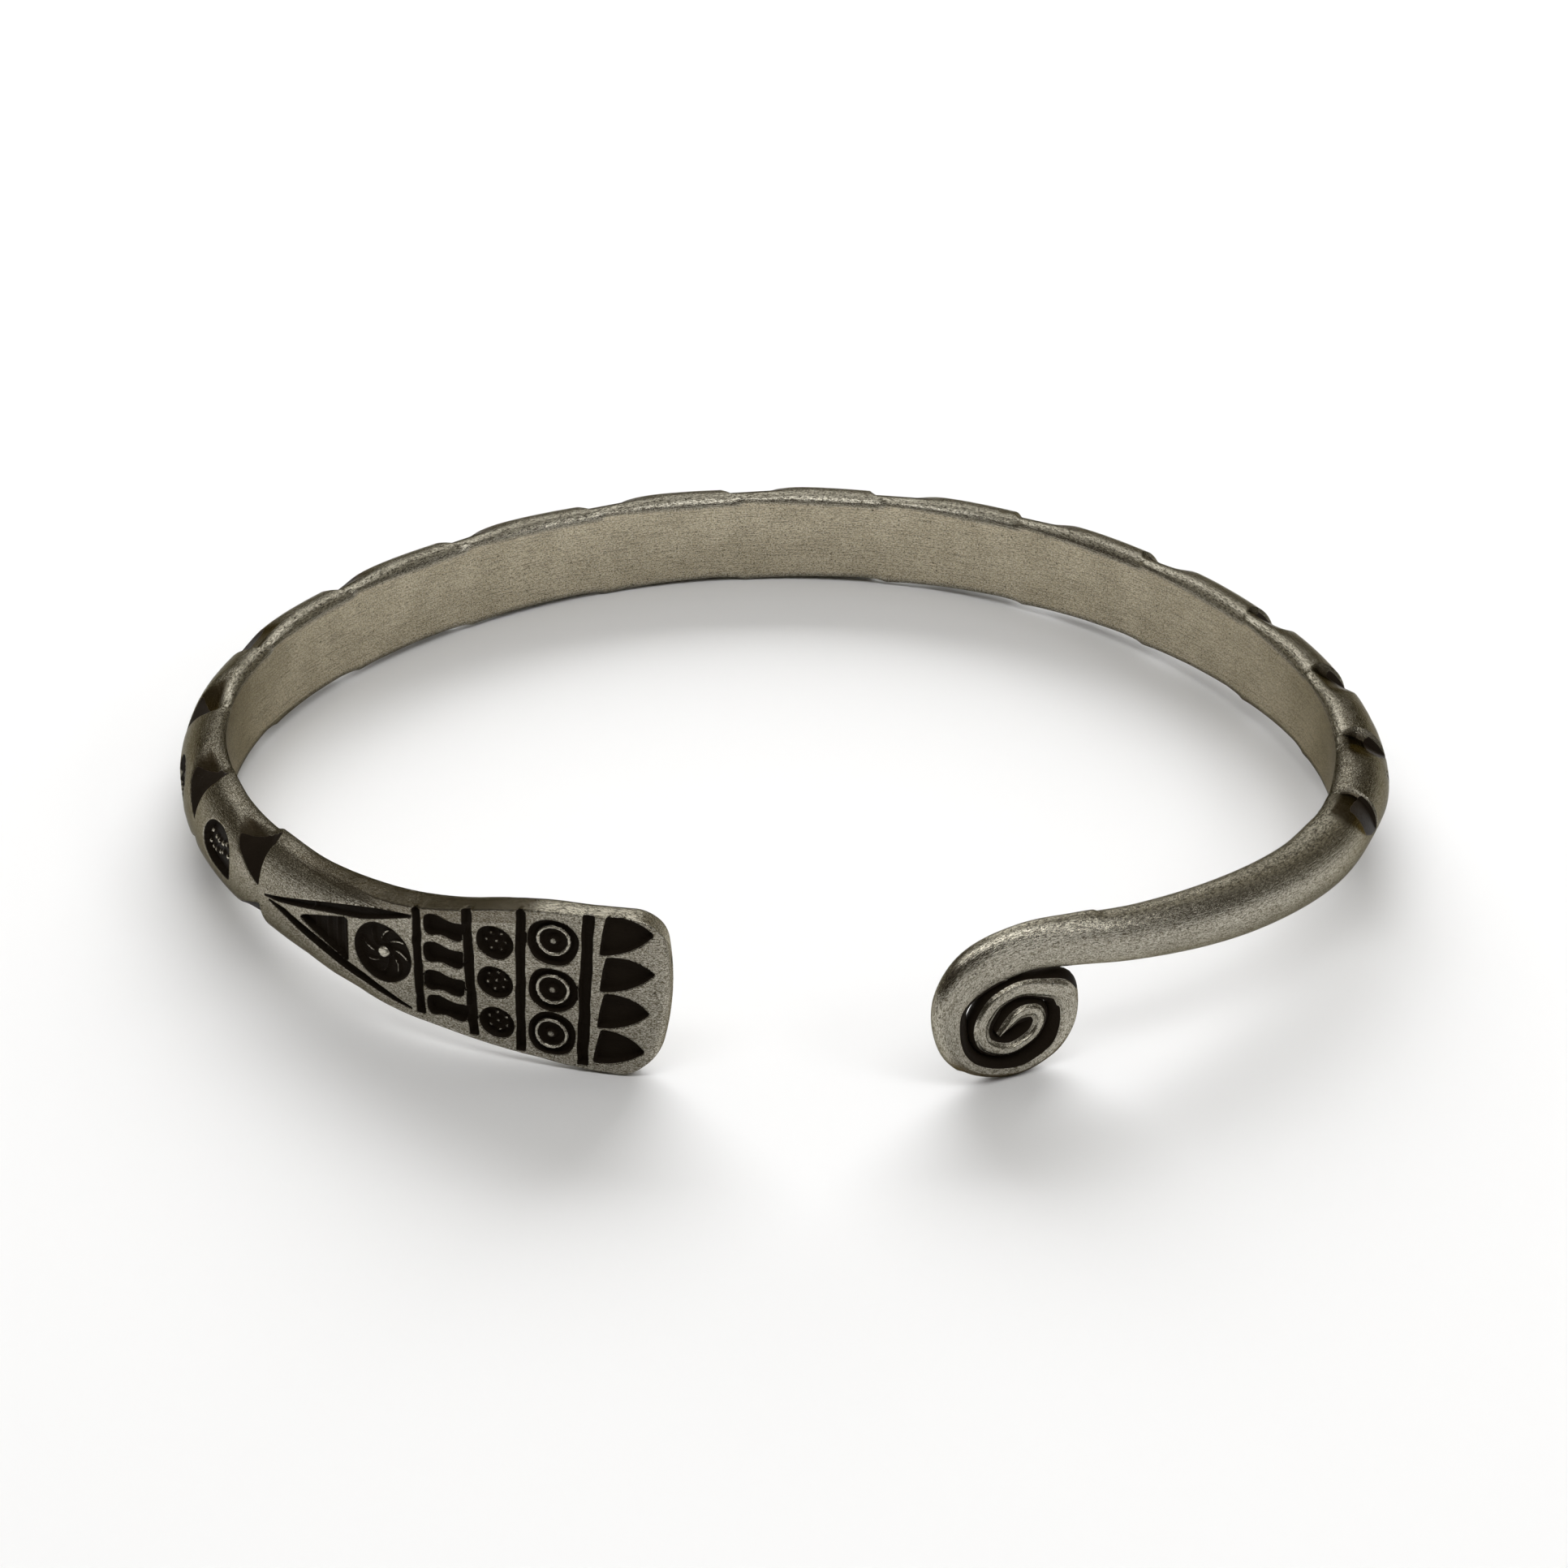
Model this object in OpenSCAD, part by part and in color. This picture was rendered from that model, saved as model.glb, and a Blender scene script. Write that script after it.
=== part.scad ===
// A snake cuff bracelet, forged from one bar of silver and lying on its side as it rests.
// The bar is laid out flat first: "along" runs along its inner face from the middle of the back,
// plus towards the flat head and minus towards the coiled tail, "up" runs across it, and "out" is
// the height above the inner face. The function place() then bends all of it round the wrist.

/* [Bar] */
// Width of the half-round bar at the back
band_w = 5.4; // [5.0:0.1:5.8]
// Thickness of the bar at its crest
band_t = 2.8; // [2.5:0.1:3.1]
// Height of the widest part of the bar above its flat inner face
rim_t = 0.8; // [0.6:0.1:1.0]

/* [Head] */
// Width of the flattened head near its end
head_w = 9.3; // [9.0:0.1:9.8]
// Thickness of the head at its end
head_t = 1.4; // [1.2:0.1:1.6]
// Distance along the bar from the middle of the back to the end of the head
head_end = 82.2; // [81.6:0.1:83.0]
// Radius of the two corners at the end of the head
corner_r = 1.5; // [1.0:0.1:2.0]

/* [Tail] */
// Thickness of the wire where it is filed flat in the coil
coil_t = 1.4; // [1.2:0.1:1.6]

/* [Punched marks] */
// Depth of the marks on the head
mark_depth = 0.45; // [0.3:0.05:0.5]
// Depth of the paired wedges at the edges of the bar
wedge_depth = 0.6; // [0.4:0.05:0.7]
// Depth of the oval marks between the wedges
oval_depth = 0.4; // [0.3:0.05:0.5]
// Width of the four chiselled lines across the head
line_w = 0.5; // [0.4:0.05:0.6]

/* [Hidden] */

// How sharply the bar is bent: distance along it, degrees of turn for each millimetre
BEND = [[-77, 0], [-72, 1.45], [-60, 2.6], [-48, 2.8], [-36, 1.65], [-24, 1.6], [-12, 2.25], [0, 2.0],
        [12, 1.85], [24, 1.45], [36, 2.55], [48, 2.5], [60, 2.05], [72, 2.2], [84, 1.8]];
bend_soften = 4;     // half the length over which one bend runs into the next
back_heading = 183;  // direction in which the bar runs at the middle of the back
path_reach = 86;     // how far the path is worked out to each side of the back
step = 0.5;          // distance between worked-out points of the path

// Sections from the head to the start of the tail: distance along, width, thickness, height of the
// middle line, and squareness of the face, where 2 is an ellipse and 8 is nearly flat
SECTIONS = [[head_end, head_w, head_t, 0.25, 8],
            [77, head_w - 0.1, head_t + 0.1, 0.28, 8],
            [73, head_w - 1.2, head_t + 0.3, 0.20, 6],
            [69, head_w - 2.7, head_t + 0.6, 0.10, 4],
            [64, band_w + 0.5, band_t - 0.5, 0.05, 2.6],
            [58, band_w - 0.2, band_t - 0.4, 0.05, 2.1],
            [50, band_w - 0.2, band_t - 0.2, 0, 2],
            [0, band_w, band_t, -0.15, 2],
            [-46, band_w - 0.3, band_t + 0.2, -0.05, 2]];
section_soften = 2;
head_rim = 0.7;      // the head's rim as a share of the band's
back_square = 8;     // squareness of the inner face of the bar

// Middle line of the tail and its coil: distance along, height, width, thickness
TAIL = [[-48, 0.0, 5.1, band_t + 0.2], [-54, 0.40, 3.95, band_t + 0.1], [-60, 0.8, 3.55, band_t],
        [-66, 1.3, 3.4, band_t - 0.2], [-72, 1.95, 3.0, band_t - 0.5], [-75.5, 2.42, 2.75, coil_t + 0.5],
        [-78.5, 2.63, 2.55, coil_t + 0.2], [-81.2, 1.95, 2.42, coil_t + 0.05],
        [-82.55, 0.33, 1.76, coil_t], [-82.4, -2.1, 1.2, coil_t], [-81.2, -3.5, 0.9, coil_t],
        [-78.8, -4.15, 0.8, coil_t], [-76.9, -3.55, 0.9, coil_t], [-76.15, -2.7, 1.0, coil_t],
        [-75.8, -1.35, 1.05, coil_t], [-76.2, -0.3, 0.95, coil_t], [-77.05, 0.15, 0.85, coil_t],
        [-78.7, 0.55, 0.75, coil_t], [-80.1, 0.15, 0.7, coil_t], [-80.75, -0.55, 0.65, coil_t],
        [-81.0, -1.4, 0.6, coil_t], [-80.65, -2.3, 0.5, coil_t], [-79.35, -2.85, 0.42, coil_t],
        [-78.0, -2.4, 0.38, coil_t], [-77.5, -1.6, 0.4, coil_t], [-77.75, -0.98, 0.44, coil_t],
        [-78.35, -0.82, 0.46, coil_t], [-78.9, -0.95, 0.46, coil_t], [-79.4, -1.35, 0.42, coil_t],
        [-79.95, -1.85, 0.16, coil_t]];
// Shape of the tail's section: row of TAIL, height of the widest part as a share of the thickness,
// squareness of the face, squareness of the inner side
TAIL_SHAPE = [[0, 0.29, 2, 8], [2, 0.42, 2, 3], [4, 0.5, 2, 2], [7, 0.5, 2.6, 2.2], [10, 0.55, 5, 2.2],
              [30, 0.55, 6, 2.2]];

// Where the paired wedges are struck, from the head round to the tail
WEDGES = [57.8, 50.1, 41.8, 34.5, 26.5, 18.1, 9.4, 1.2, -7, -15.3, -23.8, -32.5, -39.8, -47, -54];
wedge_l = 3.23;       // length of a wedge along the edge
wedge_lean = 0.99;    // how far its point on the crest lies towards the head
wedge_tip = 0.5;     // distance of that point from the middle line
oval_l = 3.29;
oval_w = 2.21;

// One column of a table against its first column
function column(table, c) = [for (r = table) [r[0], r[c]]];
function flip(list) = [for (i = [len(list) - 1:-1:0]) list[i]];

// The mean of a column over a short stretch, so that one row runs smoothly into the next
function soften(table, at, stretch) =
    (lookup(at - stretch, table) + lookup(at - stretch / 2, table) + lookup(at, table)
     + lookup(at + stretch / 2, table) + lookup(at + stretch, table)) / 5;

// The path of the inner face, worked out from the back towards one end: distance, x, y, heading
function run(way) =
    [for (i = 0, at = 0, h = back_heading, x = 0, y = 0;
          i <= path_reach / step;
          turn = way * step * soften(BEND, at + way * step / 2, bend_soften),
          x = x + way * step * cos(h + turn / 2),
          y = y + way * step * sin(h + turn / 2),
          h = h + turn,
          at = at + way * step,
          i = i + 1)
        [at, x, y, h]];
TO_HEAD = run(1);
TO_TAIL = run(-1);
PATH = concat(flip([for (i = [1:len(TO_TAIL) - 1]) TO_TAIL[i]]), TO_HEAD);
PATH_X = column(PATH, 1);
PATH_Y = column(PATH, 2);
PATH_H = column(PATH, 3);

// Points and directions of the bent bar, before it is set down to rest
function heading(along) = lookup(along, PATH_H);
function bent(along, up, out) =
    let (h = heading(along))
    [lookup(along, PATH_X) + out * sin(h), lookup(along, PATH_Y) - out * cos(h), up];

RISING = flip(SECTIONS);
function section(along, c) = soften(column(RISING, c), along, section_soften);
function width(along) = section(along, 1);
function thickness(along) = section(along, 2);
function middle(along) = section(along, 3);
function squareness(along) = section(along, 4);
function rim(along) = rim_t * lookup(along, [[64, 1], [76, head_rim]]);

// Width lost to each rounded corner near the end of the head
function corner_loss(along) =
    let (past = max(0, along - (head_end - corner_r)))
    corner_r - sqrt(max(0, corner_r * corner_r - past * past));

// One half of a section as a squared ellipse, from one edge to the other: across, out
function power(x, p) = sign(x) * pow(abs(x), 2 / p);
function half(w, rim, crest, p, angles) =
    [for (a = angles) [w / 2 * power(cos(a), p), rim + (crest - rim) * power(sin(a), p)]];
FRONT_ANGLES = [for (i = [0:10]) i * 18];
BACK_ANGLES = [for (i = [5:-1:1]) i * 30];
function outline(w, t, rim, face, inner) =
    concat(half(w, rim, t, face, FRONT_ANGLES), half(w, rim, 0, inner, BACK_ANGLES));

// Rows of the whole middle line: along, up, width, thickness, rim, squareness of the face and of the
// inner side, and the share of the section's depth that is left where the end of the head is rounded
END_STEPS = [[0, 0.45], [0.03, 0.7], [0.15, 0.95], [0.4, 1], [0.8, 1], [1.3, 1], [2, 1]];
function bar_row(at, left) =
    [at, middle(at), width(at) - 2 * corner_loss(at), thickness(at), rim(at), squareness(at), back_square,
     left];
HEAD_ROWS = [for (e = END_STEPS) bar_row(head_end - e[0], e[1])];
row_gap = 2;
BAND_ROWS = [for (at = [head_end - 3.2:-row_gap:TAIL[0][0] + 0.5]) bar_row(at, 1)];

// A smooth curve through the rows of TAIL, in steps of a third of a row
TAIL_PARTS = 3;
last_row = len(TAIL) - 1;
function gap(i, k) = norm([TAIL[k][0] - TAIL[i][0], TAIL[k][1] - TAIL[i][1]]);
function slope(i) =
    let (a = max(i - 1, 0), b = min(i + 1, last_row))
    (TAIL[b] - TAIL[a]) / ((a == i ? 0 : gap(a, i)) + (b == i ? 0 : gap(i, b)));
function between(i, t) =
    (2 * pow(t, 3) - 3 * pow(t, 2) + 1) * TAIL[i]
    + (pow(t, 3) - 2 * pow(t, 2) + t) * gap(i, i + 1) * slope(i)
    + (3 * pow(t, 2) - 2 * pow(t, 3)) * TAIL[i + 1]
    + (pow(t, 3) - pow(t, 2)) * gap(i, i + 1) * slope(i + 1);
TAIL_ROWS = [for (k = [0:last_row * TAIL_PARTS])
    let (at = k / TAIL_PARTS,
         i = min(floor(at), last_row - 1),
         row = between(i, at - i))
    [row[0], row[1], row[2], row[3], row[3] * lookup(at, column(TAIL_SHAPE, 1)),
     lookup(at, column(TAIL_SHAPE, 2)), lookup(at, column(TAIL_SHAPE, 3)), 1]];
ROWS = concat(HEAD_ROWS, BAND_ROWS, TAIL_ROWS);

// The direction across the bar at one row, in the flat layout, and the ring of points round it
function across(i) =
    let (a = ROWS[max(i - 1, 0)], b = ROWS[min(i + 1, len(ROWS) - 1)], d = [b[0] - a[0], b[1] - a[1]])
    [d[1], -d[0]] / norm(d);
RINGS = [for (i = [0:len(ROWS) - 1])
    let (row = ROWS[i], m = across(i))
    [for (p = outline(row[2], row[3], row[4], row[5], row[6]))
        bent(row[0] + p[0] * m[0], row[1] + p[0] * m[1], row[4] + (p[1] - row[4]) * row[7])]];

// At rest the cuff stands on three feet: the head's lower corner, the back of the band and the coil
function foot(rings, away) =
    let (points = [for (r = rings) each r],
         depth = [for (p = points) p * away],
         low = min(depth))
    points[search(low, depth)[0]];
function some_rings(low, high) =
    [for (i = [0:len(ROWS) - 1]) if (ROWS[i][0] > low && ROWS[i][0] < high) RINGS[i]];
rest_slope = 0.03;   // roughly how much lower the ends reach than the back, over the cuff's depth
FOOT_HEAD = foot(some_rings(70, head_end), [0, 0, 1]);
FOOT_BACK = foot(some_rings(-20, 20), [0, -rest_slope, 1]);
FOOT_COIL = foot(some_rings(-84, -76), [0, 0, 1]);
function unit(v) = v / norm(v);
REST_Z = unit(cross(FOOT_COIL - FOOT_HEAD, FOOT_BACK - FOOT_HEAD));
REST_X = unit(cross([0, 1, 0], REST_Z));
REST_Y = cross(REST_Z, REST_X);
function rested(v) = [v * REST_X, v * REST_Y, v * REST_Z];
POINTS = [for (r = RINGS) each [for (p = r) rested(p)]];
LOW = [for (c = [0:2]) min([for (p = POINTS) p[c]])];
HIGH = [for (c = [0:2]) max([for (p = POINTS) p[c]])];
ORIGIN = [(LOW[0] + HIGH[0]) / 2, (LOW[1] + HIGH[1]) / 2, LOW[2]];
function place(along, up, out) = rested(bent(along, up, out)) - ORIGIN;

// The bar as one closed skin over its rings
module bar() {
    n = len(RINGS[0]);
    last = len(RINGS) - 1;
    sides = [for (i = [0:last - 1], j = [0:n - 1])
        let (a = i * n + j, b = i * n + (j + 1) % n)
        each [[a, b, b + n], [a, b + n, a + n]]];
    head_cap = [for (j = [n - 1:-1:0]) j];
    tail_cap = [for (j = [0:n - 1]) last * n + j];
    polyhedron(points = [for (p = POINTS) p - ORIGIN], faces = concat([head_cap], sides, [tail_cap]));
}

// Puts a shape on the face of the bar: its x runs along, its y across and its z out of the metal
module on_face(along, up) {
    h = heading(along);
    x = rested([cos(h), sin(h), 0]);
    y = rested([0, 0, 1]);
    z = rested([sin(h), -cos(h), 0]);
    o = place(along, up, face_out(along, up));
    multmatrix([[x[0], y[0], z[0], o[0]], [x[1], y[1], z[1], o[1]], [x[2], y[2], z[2], o[2]]])
        children();
}

// Height of the face above the inner side, at a place short of the very edge
function face_out(along, up) =
    let (share = min(0.98, abs(up - middle(along)) / (width(along) / 2)), p = squareness(along))
    rim(along) + (thickness(along) - rim(along)) * pow(1 - pow(share, p), 1 / p);

// A punched shape stands clear of the face above it, and a raised detail runs into the metal below
clear = 1;
root = 0.1;
module sunk(depth) {
    translate([0, 0, -depth])
        linear_extrude(depth + clear)
            children();
}
module raised(height) {
    translate([0, 0, -mark_depth - root])
        linear_extrude(height + root)
            children();
}
module spot(along, up, r, depth) {
    on_face(along, up)
        sunk(depth)
            circle(r, $fn = 8);
}

// A line whose ends and middle have their own widths: each row is along, up, radius.
// The end of each stretch is tucked inside the start of the next one.
tuck = 0.942;
module stroke(rows, depth) {
    for (i = [0:len(rows) - 2])
        hull() {
            spot(rows[i][0], rows[i][1], rows[i][2], depth);
            spot(rows[i + 1][0], rows[i + 1][1], rows[i + 1][2] * tuck, depth * tuck);
        }
}

// Two long grooves that open from the neck like a jaw
UPPER_JAW = [[59.4, 0.45, 0.06], [62.5, 1.5, 0.17], [65.8, 2.4, 0.17], [69.2, 3.0, 0.06]];
LOWER_JAW = [[59.8, 0.35, 0.06], [62.5, -0.45, 0.22], [65.8, -1.45, 0.22], [69, -2.4, 0.06]];

// The ridged triangle between the grooves: its corners are along, up, radius
triangle_at = [64.1, 0.3];
CORNERS = [[-1.9, 0.05, 0.1], [1.15, 1.1, 0.12], [1.2, -1.1, 0.12]];
RIDGES = [-0.8, -0.15, 0.45, 0.9];
ridge_w = 0.14;
ridge_h = 0.15;
module triangle_mark() {
    on_face(triangle_at[0], triangle_at[1])
        difference() {
            sunk(mark_depth)
                hull()
                    for (c = CORNERS)
                        translate([c[0], c[1]])
                            circle(c[2], $fn = 6);
            raised(ridge_h)
                for (x = RIDGES)
                    translate([x, 0])
                        square([ridge_w, 3], center = true);
        }
}

// The eye of the head: a round mark with a raised hub and rays
eye_at = [67.55, 0.3];
eye_r = 1.66;
hub_r = 0.3;
ray_l = 0.95;
ray_w = 0.12;
ray_h = 0.2;
module eye_mark() {
    on_face(eye_at[0], eye_at[1])
        difference() {
            sunk(mark_depth)
                circle(eye_r, $fn = 24);
            raised(mark_depth - 0.05)
                circle(hub_r, $fn = 8);
            raised(ray_h)
                for (a = [20:45:335])
                    rotate(a)
                        translate([hub_r + 0.2, -ray_w / 2])
                            square([ray_l, ray_w]);
        }
}

// Chiselled lines across the head: along at the top, along at the bottom, top, bottom
LINES = [[69.5, 69.6, 3.1, -2.5], [72.25, 72.5, 3.7, -2.9], [75.1, 74.9, 4.2, -3.3],
         [78.5, 78.1, 4.6, -3.7]];

// Four wavy marks: along and radius of a wave's strokes, height of its swing
WAVES = [2.75, 1.1, -0.6, -2.1];
WAVE_STEPS = [70.2, 70.7, 71.2, 71.7];
wave_r = 0.4;
wave_swing = 0.16;
module wave_mark(up) {
    stroke([for (i = [0:3]) [WAVE_STEPS[i], up + wave_swing * sin(120 * i), wave_r]], mark_depth);
}

// Three round marks, each with a cluster of seven grains
BERRIES = [[73.7, 2.55], [73.6, 0.25], [73.7, -2.15]];
berry_r = 0.97;
grain_r = 0.14;
grain_h = 0.2;
module berry_mark(at) {
    on_face(at[0], at[1])
        difference() {
            sunk(mark_depth)
                circle(berry_r, $fn = 16);
            raised(grain_h) {
                circle(grain_r, $fn = 6);
                for (a = [0:60:300])
                    rotate(a)
                        translate([berry_r / 2, 0])
                            circle(grain_r, $fn = 6);
            }
        }
}

// Three marks with a raised ring and a raised dot
TARGETS = [[76.6, 3.0], [76.55, 0.3], [76.4, -2.35]];
target_r = 1.27;
ring_r = 0.78;
ring_w = 0.16;
dot_r = 0.2;
module target_mark(at) {
    on_face(at[0], at[1])
        difference() {
            sunk(mark_depth)
                circle(target_r, $fn = 14);
            raised(mark_depth - 0.05) {
                circle(dot_r, $fn = 6);
                difference() {
                    circle(ring_r + ring_w / 2, $fn = 18);
                    circle(ring_r - ring_w / 2, $fn = 18);
                }
            }
        }
}

// Four fangs at the end of the head: along and up of the middle, height of the tip
FANGS = [[80.4, 3.65, 4.15], [80.3, 1.6, 1.8], [80.2, -0.6, -0.6], [79.95, -2.7, -2.85]];
fang_tip = 1.15;
FANG_SIDES = [[-1.1, 0.9, 0.12], [-1.2, -0.9, 0.12], [0.2, 0.75, 0.15], [0, -0.65, 0.2]];
module fang_mark(f) {
    on_face(f[0], f[1])
        sunk(mark_depth)
            hull()
                for (c = concat(FANG_SIDES, [[fang_tip, f[2] - f[1], 0.12]]))
                    translate([c[0], c[1]])
                        circle(c[2], $fn = 8);
}

module head_marks() {
    stroke(UPPER_JAW, mark_depth);
    stroke(LOWER_JAW, mark_depth);
    triangle_mark();
    eye_mark();
    for (l = LINES)
        stroke([[l[0], l[2], line_w / 2], [l[1], l[3], line_w / 2]], mark_depth);
    for (up = WAVES)
        wave_mark(up);
    for (at = BERRIES)
        berry_mark(at);
    for (at = TARGETS)
        target_mark(at);
    for (f = FANGS)
        fang_mark(f);
}

// One wedge, deep and steep on the side of the head and fading towards the tail.
// side is 1 at the upper edge and -1 at the lower one.
wedge_past = 0.41;    // how far its cutter stands past the edge of the bar
wedge_fade = 0.88;    // share of the half width at which it runs out, at its tail end
module wedge(along, side) {
    mid = middle(along);
    w = width(along) / 2;
    crest = face_out(along, mid);
    deep = crest - rim_t;
    tip = along + wedge_lean;
    end = along - wedge_l;
    edge = mid + side * (w + wedge_past);
    point = mid + side * wedge_tip;
    CUTTER = [place(tip, point, crest),
              place(tip, point, crest + clear),
              place(along, edge, rim_t - wedge_depth),
              place(along, mid + side * (w - wedge_depth), rim_t),
              place(along, edge, crest + clear),
              place(end, edge, rim_t),
              place(end, mid + side * w * wedge_fade, rim_t + deep / 2),
              place(end, edge, crest + clear),
              place((tip + end) / 2, mid + side * w / 2, crest + clear)];
    hull()
        polyhedron(points = CUTTER, faces = [[for (i = [0:len(CUTTER) - 1]) i]]);
}

// The oval mark on the crest between two pairs of wedges, a little nearer to the head
oval_shift = 0.38;
module oval(along) {
    on_face(along, middle(along))
        sunk(oval_depth)
            scale([oval_l / oval_w, 1])
                circle(oval_w / 2, $fn = 16);
}

// The whole cuff: one forged bar, punched on its outer face
module cuff() {
    color([0.64, 0.62, 0.55])
        difference() {
            bar();
            head_marks();
            for (at = WEDGES, side = [-1, 1])
                wedge(at, side);
            for (i = [0:len(WEDGES) - 2])
                oval((WEDGES[i] + WEDGES[i + 1]) / 2 + oval_shift);
        }
}

cuff();
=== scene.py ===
"""The snake cuff bracelet: a finely meshed bar with punched marks, its silver, a floor, light and a camera.

The bar is laid out flat first, as in the part's source and in millimetres: "along" runs along its inner
face from the middle of the back, plus towards the flat head and minus towards the coiled tail, "up" runs
across it, and "out" is the height above the inner face. bent() then bends it round the wrist, and
rested() sets it down on its three feet.
"""

import math

import bpy
import numpy as np
from mathutils import Matrix

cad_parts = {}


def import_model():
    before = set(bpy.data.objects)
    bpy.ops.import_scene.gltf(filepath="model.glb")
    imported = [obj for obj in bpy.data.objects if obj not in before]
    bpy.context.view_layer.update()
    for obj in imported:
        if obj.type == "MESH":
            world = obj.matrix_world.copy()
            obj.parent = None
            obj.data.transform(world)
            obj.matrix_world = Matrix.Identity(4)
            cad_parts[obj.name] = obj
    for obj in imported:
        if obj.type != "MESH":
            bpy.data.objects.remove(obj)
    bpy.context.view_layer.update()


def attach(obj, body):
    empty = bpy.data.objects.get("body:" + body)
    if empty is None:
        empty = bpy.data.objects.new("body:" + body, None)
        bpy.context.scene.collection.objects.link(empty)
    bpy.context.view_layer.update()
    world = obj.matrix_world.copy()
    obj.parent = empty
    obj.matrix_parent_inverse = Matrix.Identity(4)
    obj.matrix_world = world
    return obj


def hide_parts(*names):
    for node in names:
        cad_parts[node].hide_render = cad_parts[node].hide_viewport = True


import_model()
MM = 0.001

# The bar and its sizes, as in the part's source
BAND_W, BAND_T, RIM_T = 5.4, 2.8, 0.8
HEAD_W, HEAD_T, HEAD_END, CORNER_R = 9.3, 1.4, 82.2, 1.5
COIL_T = 1.4
INNER_SQUARENESS = 8  # of the band's flat inner side, where 2 would be an ellipse
BACK_HEADING, PATH_REACH, STEP = 183, 86, 0.5  # of the path: degrees, millimetres each way, one step
BEND_SOFTEN, SECTION_SOFTEN = 4, 2  # the stretches over which the two tables below are softened

# The bend of the inner face: along, degrees of turn in each millimetre
BEND = np.array([
    [-77, 0], [-72, 1.45], [-60, 2.6], [-48, 2.8], [-36, 1.65], [-24, 1.6], [-12, 2.25], [0, 2.0],
    [12, 1.85], [24, 1.45], [36, 2.55], [48, 2.5], [60, 2.05], [72, 2.2], [84, 1.8]])

# The head and band: along, width, thickness, middle of the width, squareness of the face
SECTIONS = np.array([
    [-46, BAND_W - 0.3, BAND_T + 0.2, -0.05, 2],
    [0, BAND_W, BAND_T, -0.15, 2],
    [50, BAND_W - 0.2, BAND_T - 0.2, 0, 2],
    [58, BAND_W - 0.2, BAND_T - 0.4, 0.05, 2.1],
    [64, BAND_W + 0.5, BAND_T - 0.5, 0.05, 2.6],
    [69, HEAD_W - 2.7, HEAD_T + 0.6, 0.10, 4],
    [73, HEAD_W - 1.2, HEAD_T + 0.3, 0.20, 6],
    [77, HEAD_W - 0.1, HEAD_T + 0.1, 0.28, 8],
    [HEAD_END, HEAD_W, HEAD_T, 0.25, 8]])

# The tail up to its coil: along, up, width, thickness
TAPER = [
    [-48, 0, 5.1, BAND_T + 0.2], [-54, 0.40, 3.95, BAND_T + 0.1], [-60, 0.8, 3.55, BAND_T],
    [-66, 1.3, 3.4, BAND_T - 0.2], [-72, 1.95, 3.0, BAND_T - 0.5], [-75.5, 2.42, 2.75, COIL_T + 0.5],
    [-78.5, 2.63, 2.55, COIL_T + 0.2], [-81.2, 1.95, 2.42, COIL_T + 0.05]]
# The coil: along, up, width
COIL = [
    [-82.55, 0.33, 1.76], [-82.4, -2.1, 1.2], [-81.2, -3.5, 0.9], [-78.8, -4.15, 0.8], [-76.9, -3.55, 0.9],
    [-76.15, -2.7, 1.0], [-75.8, -1.35, 1.05], [-76.2, -0.3, 0.95], [-77.05, 0.15, 0.85],
    [-78.7, 0.55, 0.75], [-80.1, 0.15, 0.7], [-80.75, -0.55, 0.65], [-81.0, -1.4, 0.6], [-80.65, -2.3, 0.5],
    [-79.35, -2.85, 0.42], [-78.0, -2.4, 0.38], [-77.5, -1.6, 0.4], [-77.75, -0.98, 0.44],
    [-78.35, -0.82, 0.44], [-78.9, -0.95, 0.40], [-79.4, -1.35, 0.30], [-79.95, -1.85, 0.10]]
TAIL = np.array(TAPER + [[*row, COIL_T] for row in COIL])
TAIL_START = -48  # where the band ends

# The tail's section: row of TAIL, rim as a share of the thickness, squareness of the face and inner side
TAIL_SHAPE = np.array([
    [0, 0.29, 2, 8], [2, 0.42, 2, 3], [4, 0.5, 2, 2], [7, 0.5, 2.6, 2.2], [10, 0.55, 5, 2.2],
    [30, 0.55, 6, 2.2]])

# The part's rows at the head's end: distance from the end, share of the thickness there
END_STEPS = [(0, 0.45), (0.03, 0.7), (0.15, 0.95), (0.4, 1), (0.8, 1), (1.3, 1), (2, 1)]

# The wedges, each by the place where its steep side meets the inner edge
WEDGES = [57.8, 50.1, 41.8, 34.5, 26.5, 18.1, 9.4, 1.2, -7, -15.3, -23.8, -32.5, -39.8, -47, -54]

# The columns of a table of rows
ALONG, UP, WIDTH, THICK, RIM, FACE_SQUARE, INNER_SQUARE = range(7)


def ramp(x, a, b):
    """0 up to a, 1 from b on, and a smooth rise between them. a may be the larger of the two."""
    t = np.clip((np.asarray(x, float) - a) / (b - a), 0, 1)
    return t * t * (3 - 2 * t)


def unit(v):
    return v / np.linalg.norm(v)


def soften(table, column, at, stretch):
    """A column of a table, as the mean of five values round a place."""
    return sum(np.interp(at + k * stretch / 2, table[:, 0], table[:, column]) for k in range(-2, 3)) / 5


def run(way):
    """The path of the inner face from the back towards one end: along, x, y, heading."""
    at, x, y, h, found = 0, 0, 0, BACK_HEADING, []
    step = way * STEP
    for _ in range(int(PATH_REACH / STEP) + 1):
        found.append((at, x, y, h))
        turn = step * soften(BEND, 1, at + step / 2, BEND_SOFTEN)
        x += step * math.cos(math.radians(h + turn / 2))
        y += step * math.sin(math.radians(h + turn / 2))
        h += turn
        at += step
    return found


PATH = np.array(run(-1)[:0:-1] + run(1))


def bent(along, up, out):
    """Points of the flat layout, bent round the wrist."""
    x, y, h = (np.interp(along, PATH[:, 0], PATH[:, c]) for c in (1, 2, 3))
    h = np.radians(h)
    return np.stack([x + out * np.sin(h), y - out * np.cos(h), np.broadcast_to(up, np.shape(x))], -1)


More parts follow.
